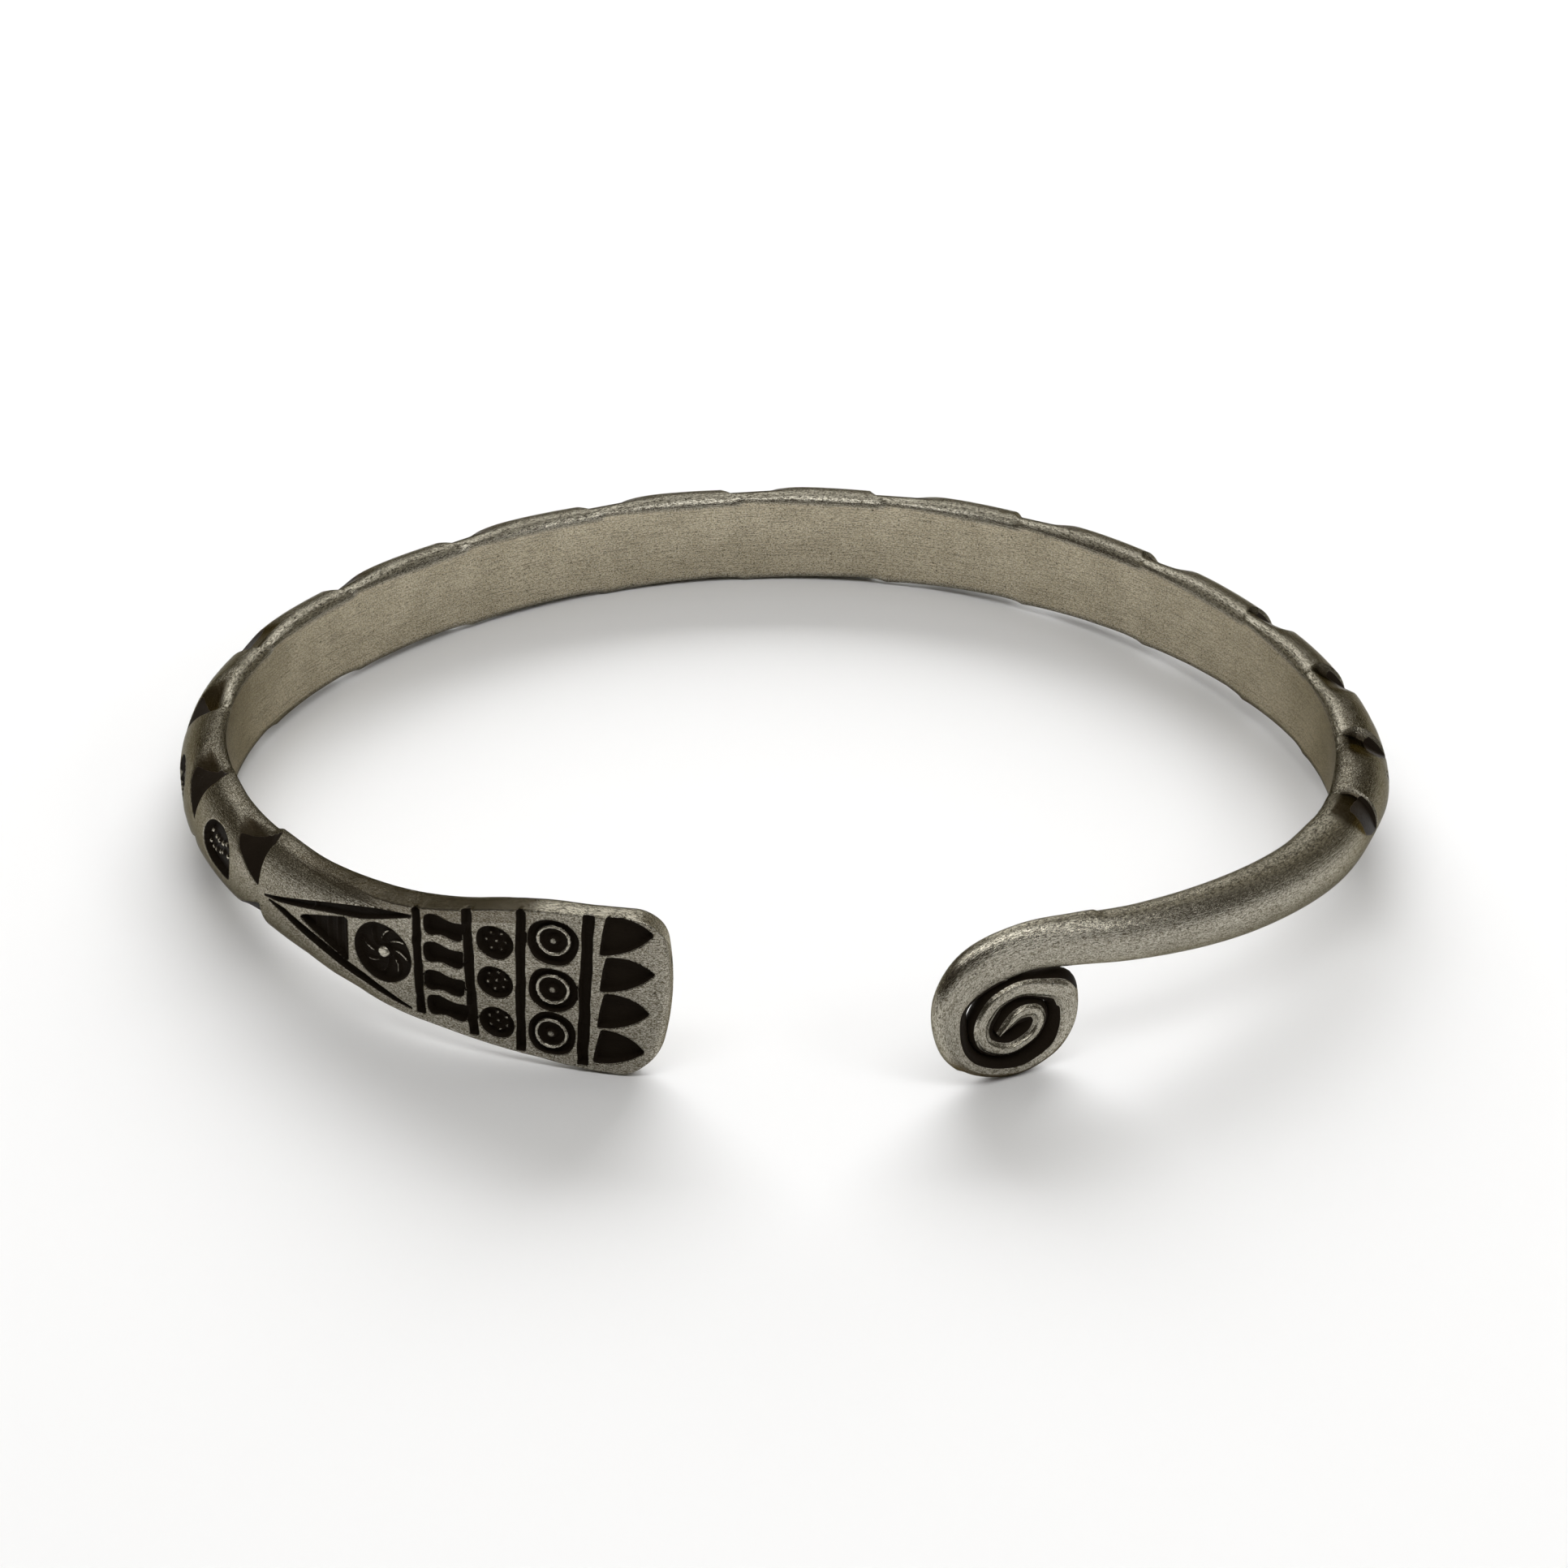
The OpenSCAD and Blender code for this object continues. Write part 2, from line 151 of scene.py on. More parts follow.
def bar_row(s):
    """A row of the head or band, or for many places the columns of their rows."""
    w, t, middle, square = (soften(SECTIONS, c, s, SECTION_SOFTEN) for c in (1, 2, 3, 4))
    return [s, middle, w, t, RIM_T * np.interp(s, [64, 76], [1, 0.7]), square, INNER_SQUARENESS + 0 * s]


def corner_loss(s, r=CORNER_R):
    """How far a round corner of the head's end lies inside the full width."""
    past = np.maximum(0, s - (HEAD_END - r))
    return r - np.sqrt(np.maximum(0, r * r - past * past))


def tail_row(at):
    """A row of the tail's smooth curve, at a place counted in rows of TAIL."""
    last = len(TAIL) - 1
    i = min(int(at), last - 1)
    t = at - i

    def gap(a, b):
        return math.hypot(TAIL[b][0] - TAIL[a][0], TAIL[b][1] - TAIL[a][1])

    def slope(k):
        a, b = max(k - 1, 0), min(k + 1, last)
        return (TAIL[b] - TAIL[a]) / (gap(a, k) + gap(k, b))

    g = gap(i, i + 1)
    row = ((2 * t**3 - 3 * t**2 + 1) * TAIL[i] + (t**3 - 2 * t**2 + t) * g * slope(i)
           + (3 * t**2 - 2 * t**3) * TAIL[i + 1] + (t**3 - t**2) * g * slope(i + 1))
    rim_share, face, inner = (np.interp(at, TAIL_SHAPE[:, 0], TAIL_SHAPE[:, c]) for c in (1, 2, 3))
    return [*row, row[THICK] * rim_share, face, inner]


def power(x, p):
    return np.sign(x) * np.abs(x) ** (2 / p)


def half(w, low, crest, p, degrees):
    """One side of a section, from its edges at the height low over its crest."""
    a = np.radians(degrees)
    return np.stack([w / 2 * power(np.cos(a), p), low + (crest - low) * power(np.sin(a), p)], -1)


def rest_pose():
    """The turn and the shift that set the cuff down on its three feet, from the part's rows."""
    rows = [bar_row(HEAD_END - e) + [left] for e, left in END_STEPS]
    rows += [bar_row(s) + [1] for s in np.arange(HEAD_END - 3.2, TAIL_START + 0.49, -2)]
    for row in rows:
        row[WIDTH] -= 2 * corner_loss(row[ALONG])
    rows += [tail_row(k / 3) + [1] for k in range((len(TAIL) - 1) * 3 + 1)]
    rings = []
    for i, (s, up, w, t, low, face, inner, left) in enumerate(rows):
        a, b = rows[max(i - 1, 0)], rows[min(i + 1, len(rows) - 1)]
        d = np.array([b[0] - a[0], b[1] - a[1]])
        m = unit(np.array([d[1], -d[0]]))
        p = np.concatenate([half(w, low, t, face, np.arange(0, 181, 18)),
                            half(w, low, 0, inner, np.arange(150, 29, -30))])
        rings.append(bent(s + p[:, 0] * m[0], up + p[:, 0] * m[1], low + (p[:, 1] - low) * left))

    def foot(a, b, away):
        """The point furthest down, between two places along the bar."""
        points = np.concatenate([r for r, row in zip(rings, rows) if a < row[0] < b])
        return points[np.argmin(points @ np.array(away))]

    head = foot(70, HEAD_END, [0, 0, 1])
    back = foot(-20, 20, [0, -0.03, 1])
    coil = foot(-84, -76, [0, 0, 1])
    z = unit(np.cross(coil - head, back - head))
    x = unit(np.cross([0, 1, 0], z))
    turn = np.array([x, np.cross(z, x), z])
    points = np.concatenate(rings) @ turn.T
    low, high = points.min(0), points.max(0)
    return turn, np.array([(low[0] + high[0]) / 2, (low[1] + high[1]) / 2, low[2]])


TURN, ORIGIN = rest_pose()


def rested(points):
    """Bent points, set down on the surface."""
    return points @ TURN.T - ORIGIN


# The fine mesh: columns over the face, down each side and over the inner face
FACE, SIDE, BACK = 104, 6, 12
COLUMNS = FACE + 2 * SIDE + BACK
SPLIT = 50.2  # from here to the head's end every column is used, elsewhere every second

# Its rows: distances of the first ones from the head's end, and the pitches of the others
END_ROWS = [0, 0.012, 0.04, 0.08, 0.13, 0.19, 0.26, 0.34, 0.42, 0.51, 0.60]
FINE_PITCH, WEDGE_PITCH, OPEN_PITCH = 0.09, 0.17, 0.26
WEDGE_ROWS_REACH = 3  # up to here behind a steep side the wedge pitch is used
TAIL_PITCH = ([0, 28, 34, 50, 64], [0.26, 0.26, 0.22, 0.2, 0.15])

# The wedges. Each has a steep side that faces the tail, and runs out towards the tail.
WALL_LEAD = 0.95  # how far the steep side falls back from the crest to the inner edge
WALL_RUN = 0.10  # length of the steep side along the bar
WALLS = [w + WALL_LEAD for w in WEDGES]
WEDGE_REACH, PITCH = 4.4, 8.2
FLANK_T = 1.3  # the height from which it falls back
LEAN = 0.12  # how far it leans the other way above that height, from the crest to the edge
# Height of a wedge's lower end: at the flanks, how much more round the back, and under the neck
WEDGE_FOOT, MORE_AT_BACK, NECK_FOOT = 0.45, 0.4, 0.95
# Half of the crest between two cuts: distance behind the steep side, share of half the width
CREST = ([0, 0.45, 1.15, 1.65, 2.35, 3.0, WEDGE_REACH], [0.17, 0.24, 0.37, 0.48, 0.61, 0.80, 1.0])

# What repeats from each steep side to the next: shares of the pitch, millimetres
DIP = ([0, 0.15, 0.39, 0.63, 0.88, 1], [0.28, 0.24, 0.07, 0.08, 0.21, 0.28])
INSET_TOP = ([0, 0.37, 0.61, 0.85, 1], [0.08, 0.34, 0.44, 0.39, 0.38])
INSET_LOW = ([0, 0.12, 0.45, 0.85, 1], [0.02, 0.1, 0.2, 0.25, 0.14])

# The head's end and edges
TOP_R, LOW_R = 1.6, 2.2  # the two corners
END_BULGE, END_RISE, END_REACH = 0.42, 0.9, 3.6  # the bulge, where most, and how far it goes
HEAD_INSET = 0.04  # how far the crease of the head's face lies inside its edge
EDGE_TURN = 62  # degrees that the head's edge turns through below that crease
# How much narrower the neck and head are at their lower edge: along, millimetres
LOWER_CUT = ([55, 59, 62, 64, 66, 71, 76, 77, 79, 81], [0.12, 0.32, 0.36, 0.2, 0.2, 0.3, 0.3, 0.2, 0.07, 0])

WIRE_FROM = -60  # from here to the tip a section's points lie evenly round it
ARC = np.arange(181)


def travelled(points):
    """How far each point of a line lies along it."""
    return np.concatenate([[0], np.cumsum(np.hypot(np.diff(points[:, 0]), np.diff(points[:, 1])))])


def even(points, n):
    """n + 1 points at equal distances along a line of points."""
    at = travelled(points)
    want = np.linspace(0, at[-1], n + 1)
    return np.stack([np.interp(want, at, column) for column in points.T], -1)


def wall_rows(wall):
    """The places of the four rows that draw one steep side."""
    return [wall + 0.06, wall, wall - WALL_RUN, wall - WALL_RUN - 0.08]


def band_stations():
    """Places along the bar of the rows of the head and band, close together at each steep side."""
    s = [HEAD_END - e for e in END_ROWS]
    s += list(np.arange(s[-1] - FINE_PITCH, WALLS[0] + 0.13, -FINE_PITCH))
    for wall, end in zip(WALLS, WALLS[1:] + [TAIL_START - 1]):
        s += wall_rows(wall)
        at = s[-1]
        while at - 0.12 > end + 0.12 and at > TAIL_START:
            coarse = WEDGE_PITCH if wall - at < WEDGE_ROWS_REACH else OPEN_PITCH
            at -= FINE_PITCH if at > SPLIT + 0.1 else coarse
            s.append(at)
    return np.array(sorted({round(x, 4) for x in s if x > TAIL_START + 0.1}, reverse=True))


def tail_rows():
    """The rows of the tail and its coil, with those of the last steep side, which lies on the tail."""
    fine = np.linspace(0, len(TAIL) - 1, 6000)
    curve = np.array([tail_row(t) for t in fine])
    length = travelled(curve)
    stops = [0.0]
    while stops[-1] < length[-1]:
        stops.append(min(stops[-1] + np.interp(stops[-1], *TAIL_PITCH), length[-1]))
    tail = np.stack([np.interp(stops, length, column) for column in curve.T], -1)
    wall, s = WALLS[-1], tail[:, ALONG]
    clear = (s > wall + 0.1) | (s < wall - WALL_RUN - 0.12)
    straight = len(fine) // 4  # up to here the curve runs one way along the bar
    at_wall = np.interp(-np.array(wall_rows(wall)), -curve[:straight, 0], fine[:straight])
    tail = np.concatenate([tail[clear], [tail_row(t) for t in at_wall]])
    place = np.where(tail[:, ALONG] > WIRE_FROM, -tail[:, ALONG], 1000 + np.arange(len(tail)))
    return tail[np.argsort(place, kind="stable")]


def dense_rows():
    """All rows, the direction across the bar at each, and how far each lies from the head's end."""
    rows = np.concatenate([np.stack(bar_row(band_stations()), -1), tail_rows()])
    place = rows[:, :2]
    d = np.concatenate([place[1:2] - place[:1], place[2:] - place[:-2], place[-1:] - place[-2:-1]])
    across = np.stack([d[:, 1], -d[:, 0]], -1)
    across /= np.linalg.norm(across, axis=1)[:, None]
    gone = travelled(rows)
    joint = ramp(rows[:, ALONG], -42, -45) * ramp(rows[:, ALONG], -54, -51)
    for c in range(UP, INNER_SQUARE + 1):  # runs the band smoothly into the tail
        soft = np.array([np.mean(np.interp(np.linspace(g - 2, g + 2, 21), gone, rows[:, c])) for g in gone])
        rows[:, c] += joint * (soft - rows[:, c])
    return rows, across, gone


ROWS, ACROSS, GONE = dense_rows()


def behind_walls(s):
    """How far a row lies behind the steep side before it, and that as a share of the pitch."""
    behind, share = np.full(len(s), 99.0), np.zeros(len(s))
    for k, wall in enumerate(WALLS):
        step = wall - WALLS[k + 1] if k + 1 < len(WALLS) else PITCH
        here = (s <= wall - WALL_RUN + 1e-6) & (s > wall - step - WALL_RUN + 1e-6)
        behind[here] = (wall - s)[here]
        share[here] = np.clip(behind[here] / step, 0, 1)
    return behind, share


def along_pitch(share, values):
    """A softened value that repeats at each steep side, at shares of the pitch."""
    t = np.arange(-1, 2, 0.005)
    raw = np.interp(t % 1, *values)
    window = np.hanning(17)
    soft = np.convolve(raw, window / window.sum(), "same")
    return np.interp(share, t, soft)


def on_wedges(s):
    return ramp(s, 59.5, 58.9) * ramp(s, -60, -54)


def round_back(s):
    """1 round the back, where the wedges stop higher and the rim is straighter, and 0 beyond."""
    return ramp(s, 40, 32) * ramp(s, -44, -36)


def insets(s, share):
    """How far the inner face stays inside the upper and the lower edge."""
    ahead = ramp(s, 44, 50)
    top = along_pitch(share, INSET_TOP) * (1 - ahead) + 0.12 * ahead * (1 - 0.3 * ramp(s, 60, 72))
    ahead = ramp(s, 58.4, 59.2)
    low = along_pitch(share, INSET_LOW) * (1 - ahead) + 0.16 * ahead
    return top, low


def reaches(s, share, w):
    """How far both edges reach, as shares of half the width: scallops, swells and the head's corners."""
    dip = along_pitch(share, DIP) * on_wedges(s) * ramp(s, 50, 40) * (1 - 0.65 * round_back(s))
    swell = 0.24 * ramp(s, 57.9, 58.7) * ramp(s, 62.5, 59.2)
    swell += 0.14 * ramp(s, 50.3, 51.1) * ramp(s, 54.5, 51.8)
    swell += 0.11 * ramp(s, 71.5, 74) * ramp(s, 78.6, 76)
    narrower = np.interp(s, *LOWER_CUT) * (s > 50)
    top = 1 - (dip - swell + corner_loss(s, TOP_R) + 0.03 * ramp(s, 76, 79.5)) / (w / 2)
    low = 1 - (0.3 * dip + corner_loss(s, LOW_R) + narrower) / (w / 2)
    return top, low


def flank(sign, inset, hw, low, t, headness):
    """One side of a section, from the inner edge up to the face, rounded on the head."""
    u = np.linspace(0, 1, SIDE + 1)[1:] ** 1.5
    band = np.stack([hw - inset * (1 - u) ** 3, low * u], -1)
    v = np.arange(1, SIDE // 2 + 1) / (SIDE // 2)
    lower = np.stack([hw - inset + inset * (2 * v - v * v), low * v], -1)
    angle, full = np.radians(EDGE_TURN * v), math.radians(EDGE_TURN)
    upper = np.stack([hw - HEAD_INSET * (1 - np.cos(angle)) / (1 - math.cos(full)),
                      low + (t - low) * np.sin(angle) / math.sin(full)], -1)
    return (band * (1 - headness) + np.concatenate([lower, upper]) * headness) * [sign, 1]


def bar_ring(dome, hw, low, t, in_top, in_low, headness):
    """The ring of a head or band section: its face, lower side, inner face and upper side."""
    flat_b = np.linspace(hw - HEAD_INSET, -(hw - HEAD_INSET), FACE + 1)
    flat = np.stack([flat_b, t - 0.05 * (flat_b / hw) ** 2 * t], -1)
    face = even(dome, FACE) * (1 - headness) + flat * headness
    upper_side = flank(1, in_top, hw, low, t, headness)[:-1]
    lower_side = flank(-1, in_low, hw, low, t, headness)[-2::-1]
    q = (1 - np.cos(np.linspace(0, np.pi, BACK + 1))) / 2
    inner = np.stack([-(hw - in_low) * (1 - q) + (hw - in_top) * q, 0 * q], -1)
    return np.concatenate([face, lower_side, inner, upper_side])


def cut(ring, dome, hw, low, behind, foot):
    """One section less what lies outside its wedges' chords, and the depth taken. foot is the height of the
    chords' lower ends at the steep side."""
    crest_b = np.interp(behind, *CREST) * hw
    crest_out = np.interp(crest_b, *dome[len(dome) // 2::-1].T)
    near = (1 - np.clip(behind / WEDGE_REACH, 0, 1)) ** 1.2
    centre = np.array([0, low * 0.9])
    soft = 0.05  # how widely the cut's edge is rounded
    depth = np.zeros(len(ring))
    for side, end in zip((1, -1), foot):
        top = np.array([side * crest_b, crest_out])
        tuck = 0.045 * near * (end < 0.9)
        bottom = np.array([side * hw * (1.004 - tuck), low - (low - end) * near])
        d = bottom - top
        v = ring - centre
        num = (top[0] - centre[0]) * d[1] - (top[1] - centre[1]) * d[0]
        den = v[:, 0] * d[1] - v[:, 1] * d[0]
        with np.errstate(divide="ignore", invalid="ignore"):
            t = np.where(np.abs(den) > 1e-9, num / den, 9)
        t = np.where((t > 0) & (side * v[:, 0] > 0) & (ring[:, 1] > 0.05), t, 9)
        r = np.linalg.norm(v, axis=1)
        gap = np.clip(1 - t, -1, 1) * r
        take = np.where(t < 9, np.maximum(gap, 0) + soft * np.exp(-np.abs(gap) / soft) * 0.35, 0)
        take = np.where(gap > -3 * soft, take, 0)
        ring = centre + v * (1 - take / np.maximum(r, 1e-6))[:, None]
        depth = np.maximum(depth, take)
    return ring, depth


def sections():
    """Every row's ring of (across, out), how deep each point was cut, and how far it is behind a wall."""
    s, w = ROWS[:, ALONG], ROWS[:, WIDTH]
    behind, share = behind_walls(s)
    wedged = (behind < WEDGE_REACH) & (on_wedges(s) > 0)
    in_top, in_low = insets(s, share)
    reach_top, reach_low = reaches(s, share, w)
    headness = ramp(s, 61, 69.5)
    wire = ramp(s, -49, -58)
    wire[np.argmax(s < WIRE_FROM):] = 1
    foot = WEDGE_FOOT + MORE_AT_BACK * round_back(s)
    lower_foot = np.where(s > 53, NECK_FOOT, foot)
    rings, cuts = np.zeros((len(s), COLUMNS, 2)), np.zeros((len(s), COLUMNS))
    for i, (_, _, w, t, low, face_square, inner_square) in enumerate(ROWS):
        dome = half(w, low, t, face_square, ARC)
        ring = bar_ring(dome, w / 2, low, t, in_top[i], in_low[i], headness[i])
        if wedged[i]:
            ring, cuts[i] = cut(ring, dome, w / 2, low, behind[i], (foot[i], lower_foot[i]))
        if wire[i] > 0:
            inner = half(w, low, 0, inner_square, ARC[::-1])
            closed = even(np.concatenate([dome, inner[1:]]), COLUMNS)[:-1]
            ring = ring * (1 - wire[i]) + closed * wire[i]
        reach = np.where(ring[:, 0] > 0, reach_top[i], reach_low[i])
        ring[:, 0] *= reach * (1 - wire[i]) + wire[i]
        rings[i] = ring
    return rings, cuts, behind


RINGS, CUTS, BEHIND = sections()

# The punched marks of the head, as outlines in (along, up)
MARK_DEPTH, GROOVE_DEPTH = 0.42, 0.34
SPREAD = 0.04  # every mark is this much wider than its outline
# Chiselled lines: top, bottom, half width
BARS = [
    ((69.57, 3.55), (69.65, -2.6), 0.22),
    ((72.34, 4.27), (72.50, -3.15), 0.24),
    ((75.20, 4.68), (74.95, -3.6), 0.225),
    ((78.57, 4.98), (78.14, -3.95), 0.27)]
# Jaw grooves: along, up, half width
GROOVES = [
    [(59.3, 0.38, 0.02), (60.4, 0.63, 0.11), (62, 1.1, 0.17), (64.1, 1.7, 0.23), (65.4, 2.0, 0.27),
     (66.3, 2.2, 0.29), (67.25, 2.46, 0.25), (68.4, 2.75, 0.15), (69.3, 2.95, 0.04)],
    [(59.7, 0.28, 0.03), (60.9, 0.14, 0.17), (62.1, -0.2, 0.23), (63.25, -0.52, 0.27), (64.35, -0.88, 0.28),
     (65.35, -1.25, 0.27), (66.3, -1.55, 0.24), (67.2, -1.9, 0.19), (68.2, -2.25, 0.12), (69.1, -2.5, 0.03)]]
TRIANGLE = [
    (62.2, 0.38), (62.4, 0.58), (63.65, 1.04), (65.25, 1.56), (65.42, 1.47), (65.45, 0.3), (65.42, -0.85),
    (65.28, -0.92), (64.0, -0.35), (62.6, 0.2)]
RIDGES = [63.1, 63.9, 64.55, 65.1]  # along, of the ridges that cross the triangle
EYE, EYE_R, HUB_R = (67.55, 0.3), 1.66, 0.30
WAVES = [2.75, 1.15, -0.5, -1.95]  # up, of the four wavy marks
WAVE = [
    (69.93, -0.1), (69.97, 0.27), (70.15, 0.47), (70.45, 0.58), (70.8, 0.59), (71.2, 0.46), (71.6, 0.44),
    (71.9, 0.53), (72.0, 0.5), (72.0, 0.0), (71.97, -0.34), (71.7, -0.52), (71.35, -0.49),
    (71.0, -0.40), (70.7, -0.43), (70.4, -0.57), (70.15, -0.63), (69.98, -0.45)]
# Grain marks: along, up, radius
BERRIES = [(73.80, 2.52, 0.92), (73.74, 0.2, 0.88), (73.74, -2.17, 0.87)]
# Ring marks: along, up, half length, half height of the hollow; along, up of the ring in it
TARGETS = [
    (76.77, 3.05, 1.25, 1.27, 76.75, 3.08),
    (76.72, 0.27, 1.22, 1.23, 76.65, 0.22),
    (76.60, -2.32, 1.19, 1.24, 76.5, -2.42)]
RING_R, RING_W, DOT_R = 0.79, 0.15, 0.25
# Fangs: top, bottom, tip
FANGS = [
    ((79.43, 4.84), (79.1, 2.63), (81.78, 4.0)),
    ((79.42, 2.5), (79.1, 0.52), (81.8, 1.72)),
    ((79.33, 0.39), (78.95, -1.63), (81.55, -0.62)),
    ((79.15, -1.76), (78.7, -3.72), (81.28, -2.9))]

# The oval marks of the band, one between each two pairs of wedges: their outline and their places
OVAL = [
    (-1.1, 1.05), (-1.55, 0.55), (-1.6, -0.2), (-1.15, -0.85), (-0.3, -1.12), (0.8, -1.25), (1.45, -1.27),
    (1.62, -0.6), (1.6, 0.25), (1.25, 0.85), (0.5, 1.17), (-0.35, 1.22)]
OVALS_ALONG = [WALLS[0] - 0.553 * PITCH] + [(a + b) / 2 - 0.35 for a, b in zip(WALLS[1:], WALLS[2:])]
OVALS = [(at, bar_row(at)[UP] + (0.6 if k == 0 else 0.3)) for k, at in enumerate(OVALS_ALONG)]


def softened(points, times):
    """A closed outline with its corners cut off, and more points."""
    for _ in range(times):
        after = np.roll(points, -1, 0)
        points = np.stack([points * 0.75 + after * 0.25, points * 0.25 + after * 0.75], 1).reshape(-1, 2)
    return points


def side_line(a, b, bulge):
    """Points from a towards b along a side that bulges to its right by a share of its length."""
    a, b = np.array(a), np.array(b)
    t = np.linspace(0, 1, 9, endpoint=False)[:, None]
    away = np.array([b[1] - a[1], -(b[0] - a[0])])
    return a + (b - a) * t + away * bulge * 4 * t * (1 - t)


def fang(top, bottom, tip):
    sides = [side_line(top, bottom, 0.02), side_line(bottom, tip, 0.10), side_line(tip, top, 0.13)]
    return softened(np.concatenate(sides), 1)


def bar(top, bottom, r):
    """The outline of a bar: rounded at its top, cut straight below, with uneven sides."""
    top, bottom = np.array(top), np.array(bottom)
    d = unit(top - bottom)
    n = np.array([d[1], -d[0]])
    t = np.linspace(0, 1, 24)[:, None]
    spine = bottom + (top - d * r - bottom) * t

    def wobble(k):
        return 0.022 * np.sin(17 * t + top[0] + k) + 0.014 * np.sin(41 * t + 2 * top[0] + 2 * k)

    a = np.radians(np.linspace(0, 180, 9))[1:-1, None]
    cap = top - d * r + (n * np.cos(a) + d * np.sin(a)) * r
    return np.concatenate([spine + n * (r + wobble(0)), cap, (spine - n * (r + wobble(1.7)))[::-1]])


def blob(centre, rx, ry, p, tilt, rough, seed):
    """The outline of a round punch, with its half length, half height, squareness, tilt and unevenness."""
    a = np.linspace(0, 2 * np.pi, 40, endpoint=False)
    r = 1 + rough * (np.sin(3 * a + seed) + 0.6 * np.sin(5 * a + 2.1 * seed))
    x, y = rx * power(np.cos(a), p) * r, ry * power(np.sin(a), p) * r
    c, s = math.cos(tilt), math.sin(tilt)
    return np.stack([centre[0] + x * c - y * s, centre[1] + x * s + y * c], -1)


def wave(up):
    """The outline of a wavy mark. It leans, and each one differs a little."""
    shape = np.array(WAVE)
    shape[:, 1] -= 0.1 * (shape[:, 0] - 71)
    shape[:, 0] += 0.03 * math.sin(3 * up) + (0.08 if up < -1 else 0.03) + 0.08 * (shape[:, 0] > 71.5)
    return softened(shape + [0, up], 2)


def mark_outlines():
    """The outlines of all marks but the jaw grooves."""
    found = [np.array(TRIANGLE), blob(EYE, EYE_R, EYE_R, 2, 0, 0.008, 2)]
    for k, (x, y, r) in enumerate(BERRIES):
        found.append(blob((x, y), r * 1.03, r * 0.98, 2.1, -0.35, 0.01, k))
    for k, (x, y, rx, ry, *_) in enumerate(TARGETS):
        found.append(blob((x, y), rx, ry, 2.25, -0.12, 0.014, 1.3 * k))
    found += [wave(up) for up in WAVES] + [fang(*f) for f in FANGS] + [bar(*f) for f in BARS]
    return found + [softened(np.array(OVAL), 2) + [*place] for place in OVALS]


OUTLINES = mark_outlines()


def outline_distance(s, b, poly):
    """Signed distance to a closed outline, minus inside, for points near it and 9 elsewhere."""
    found = np.full(s.shape, 9.0)
    low, high = poly.min(0) - 0.4, poly.max(0) + 0.4
    near = (s > low[0]) & (s < high[0]) & (b > low[1]) & (b < high[1])
    p = np.stack([s[near], b[near]], -1)[:, None]
    after = np.roll(poly, -1, 0)
    e = after - poly
    t = np.clip(((p - poly) * e).sum(-1) / np.maximum((e * e).sum(-1), 1e-12), 0, 1)
    d = np.sqrt((((p - poly) - e * t[..., None]) ** 2).sum(-1)).min(1)
    x, y = p[..., 0], p[..., 1]
    crosses = (poly[:, 1] > y) != (after[:, 1] > y)
    with np.errstate(divide="ignore", invalid="ignore"):
        crossing = poly[:, 0] + (y - poly[:, 1]) * e[:, 0] / e[:, 1]
    inside = (crosses & (x < crossing)).sum(1) % 2 == 1
    found[near] = np.where(inside, -d, d)
    return found


def stroke_distance(s, b, points):
    """Signed distance to a line of (along, up, half width)."""
    found = np.full(s.shape, 9.0)
    for p, q in zip(points[:-1], points[1:]):
        d = np.array([q[0] - p[0], q[1] - p[1]])
        t = np.clip(((s - p[0]) * d[0] + (b - p[1]) * d[1]) / (d @ d), 0, 1)
        r = p[2] + t * (q[2] - p[2])
        found = np.minimum(found, np.hypot(s - p[0] - t * d[0], b - p[1] - t * d[1]) - r)
    return found


def mark_distance(s, b):
    """Signed distance to the edge of the nearest mark, minus inside."""
    found = [outline_distance(s, b, poly) for poly in OUTLINES]
    found += [stroke_distance(s, b, line) for line in GROOVES]
    return np.min(found, axis=0) - SPREAD


def bump_at(s, b, centre, r, height):
    d2 = ((s - centre[0]) ** 2 + (b - centre[1]) ** 2) / r**2
    return height * np.clip(1 - d2, 0, 1)


def triangle_ridges(s, b):
    """Ridges across the head's triangle. This and the next functions give pairs of height and brightness."""
    on_triangle = (np.abs(b - 0.3) < 1.2) * (np.abs(s - 64) < 1.5)
    for at in RIDGES:
        yield bump_at(s, 0 * b, (at, 0), 0.13, 0.13) * on_triangle, 0


def eye_rays(s, b):
    """The eye's eight curved rays and its hub."""
    x, y = s - EYE[0], b - EYE[1]
    r, angle = np.hypot(x, y), np.arctan2(y, x)
    swirl = np.sin(4 * (angle + 0.75 * r)) ** 2
    ray = (1 - ramp(swirl, 0, 0.16)) * ramp(r, 0.42, 0.55) * ramp(r, 1.45, 1.2) * (r < EYE_R)
    yield 0.16 * ray, ray * ramp(r, 0.45, 0.75) * (0.80 + 0.2 * np.sin(1.5 * angle + 1))
    hub = ramp(r, HUB_R + 0.05, HUB_R - 0.03)
    yield 0.34 * hub, hub


def berry_grains(s, b):
    """Six grains round a seventh in each grain mark."""
    for k, (x, y, _) in enumerate(BERRIES):
        for j in range(7):
            a = math.radians(60 * j + 17 * k)
            out = 0 if j == 6 else 0.5
            grain = bump_at(s, b, (x + out * math.cos(a), y + out * math.sin(a)), 0.21, 0.20)
            yield grain, (0.69 - 0.02 * (j % 3)) * (grain > 0.155)


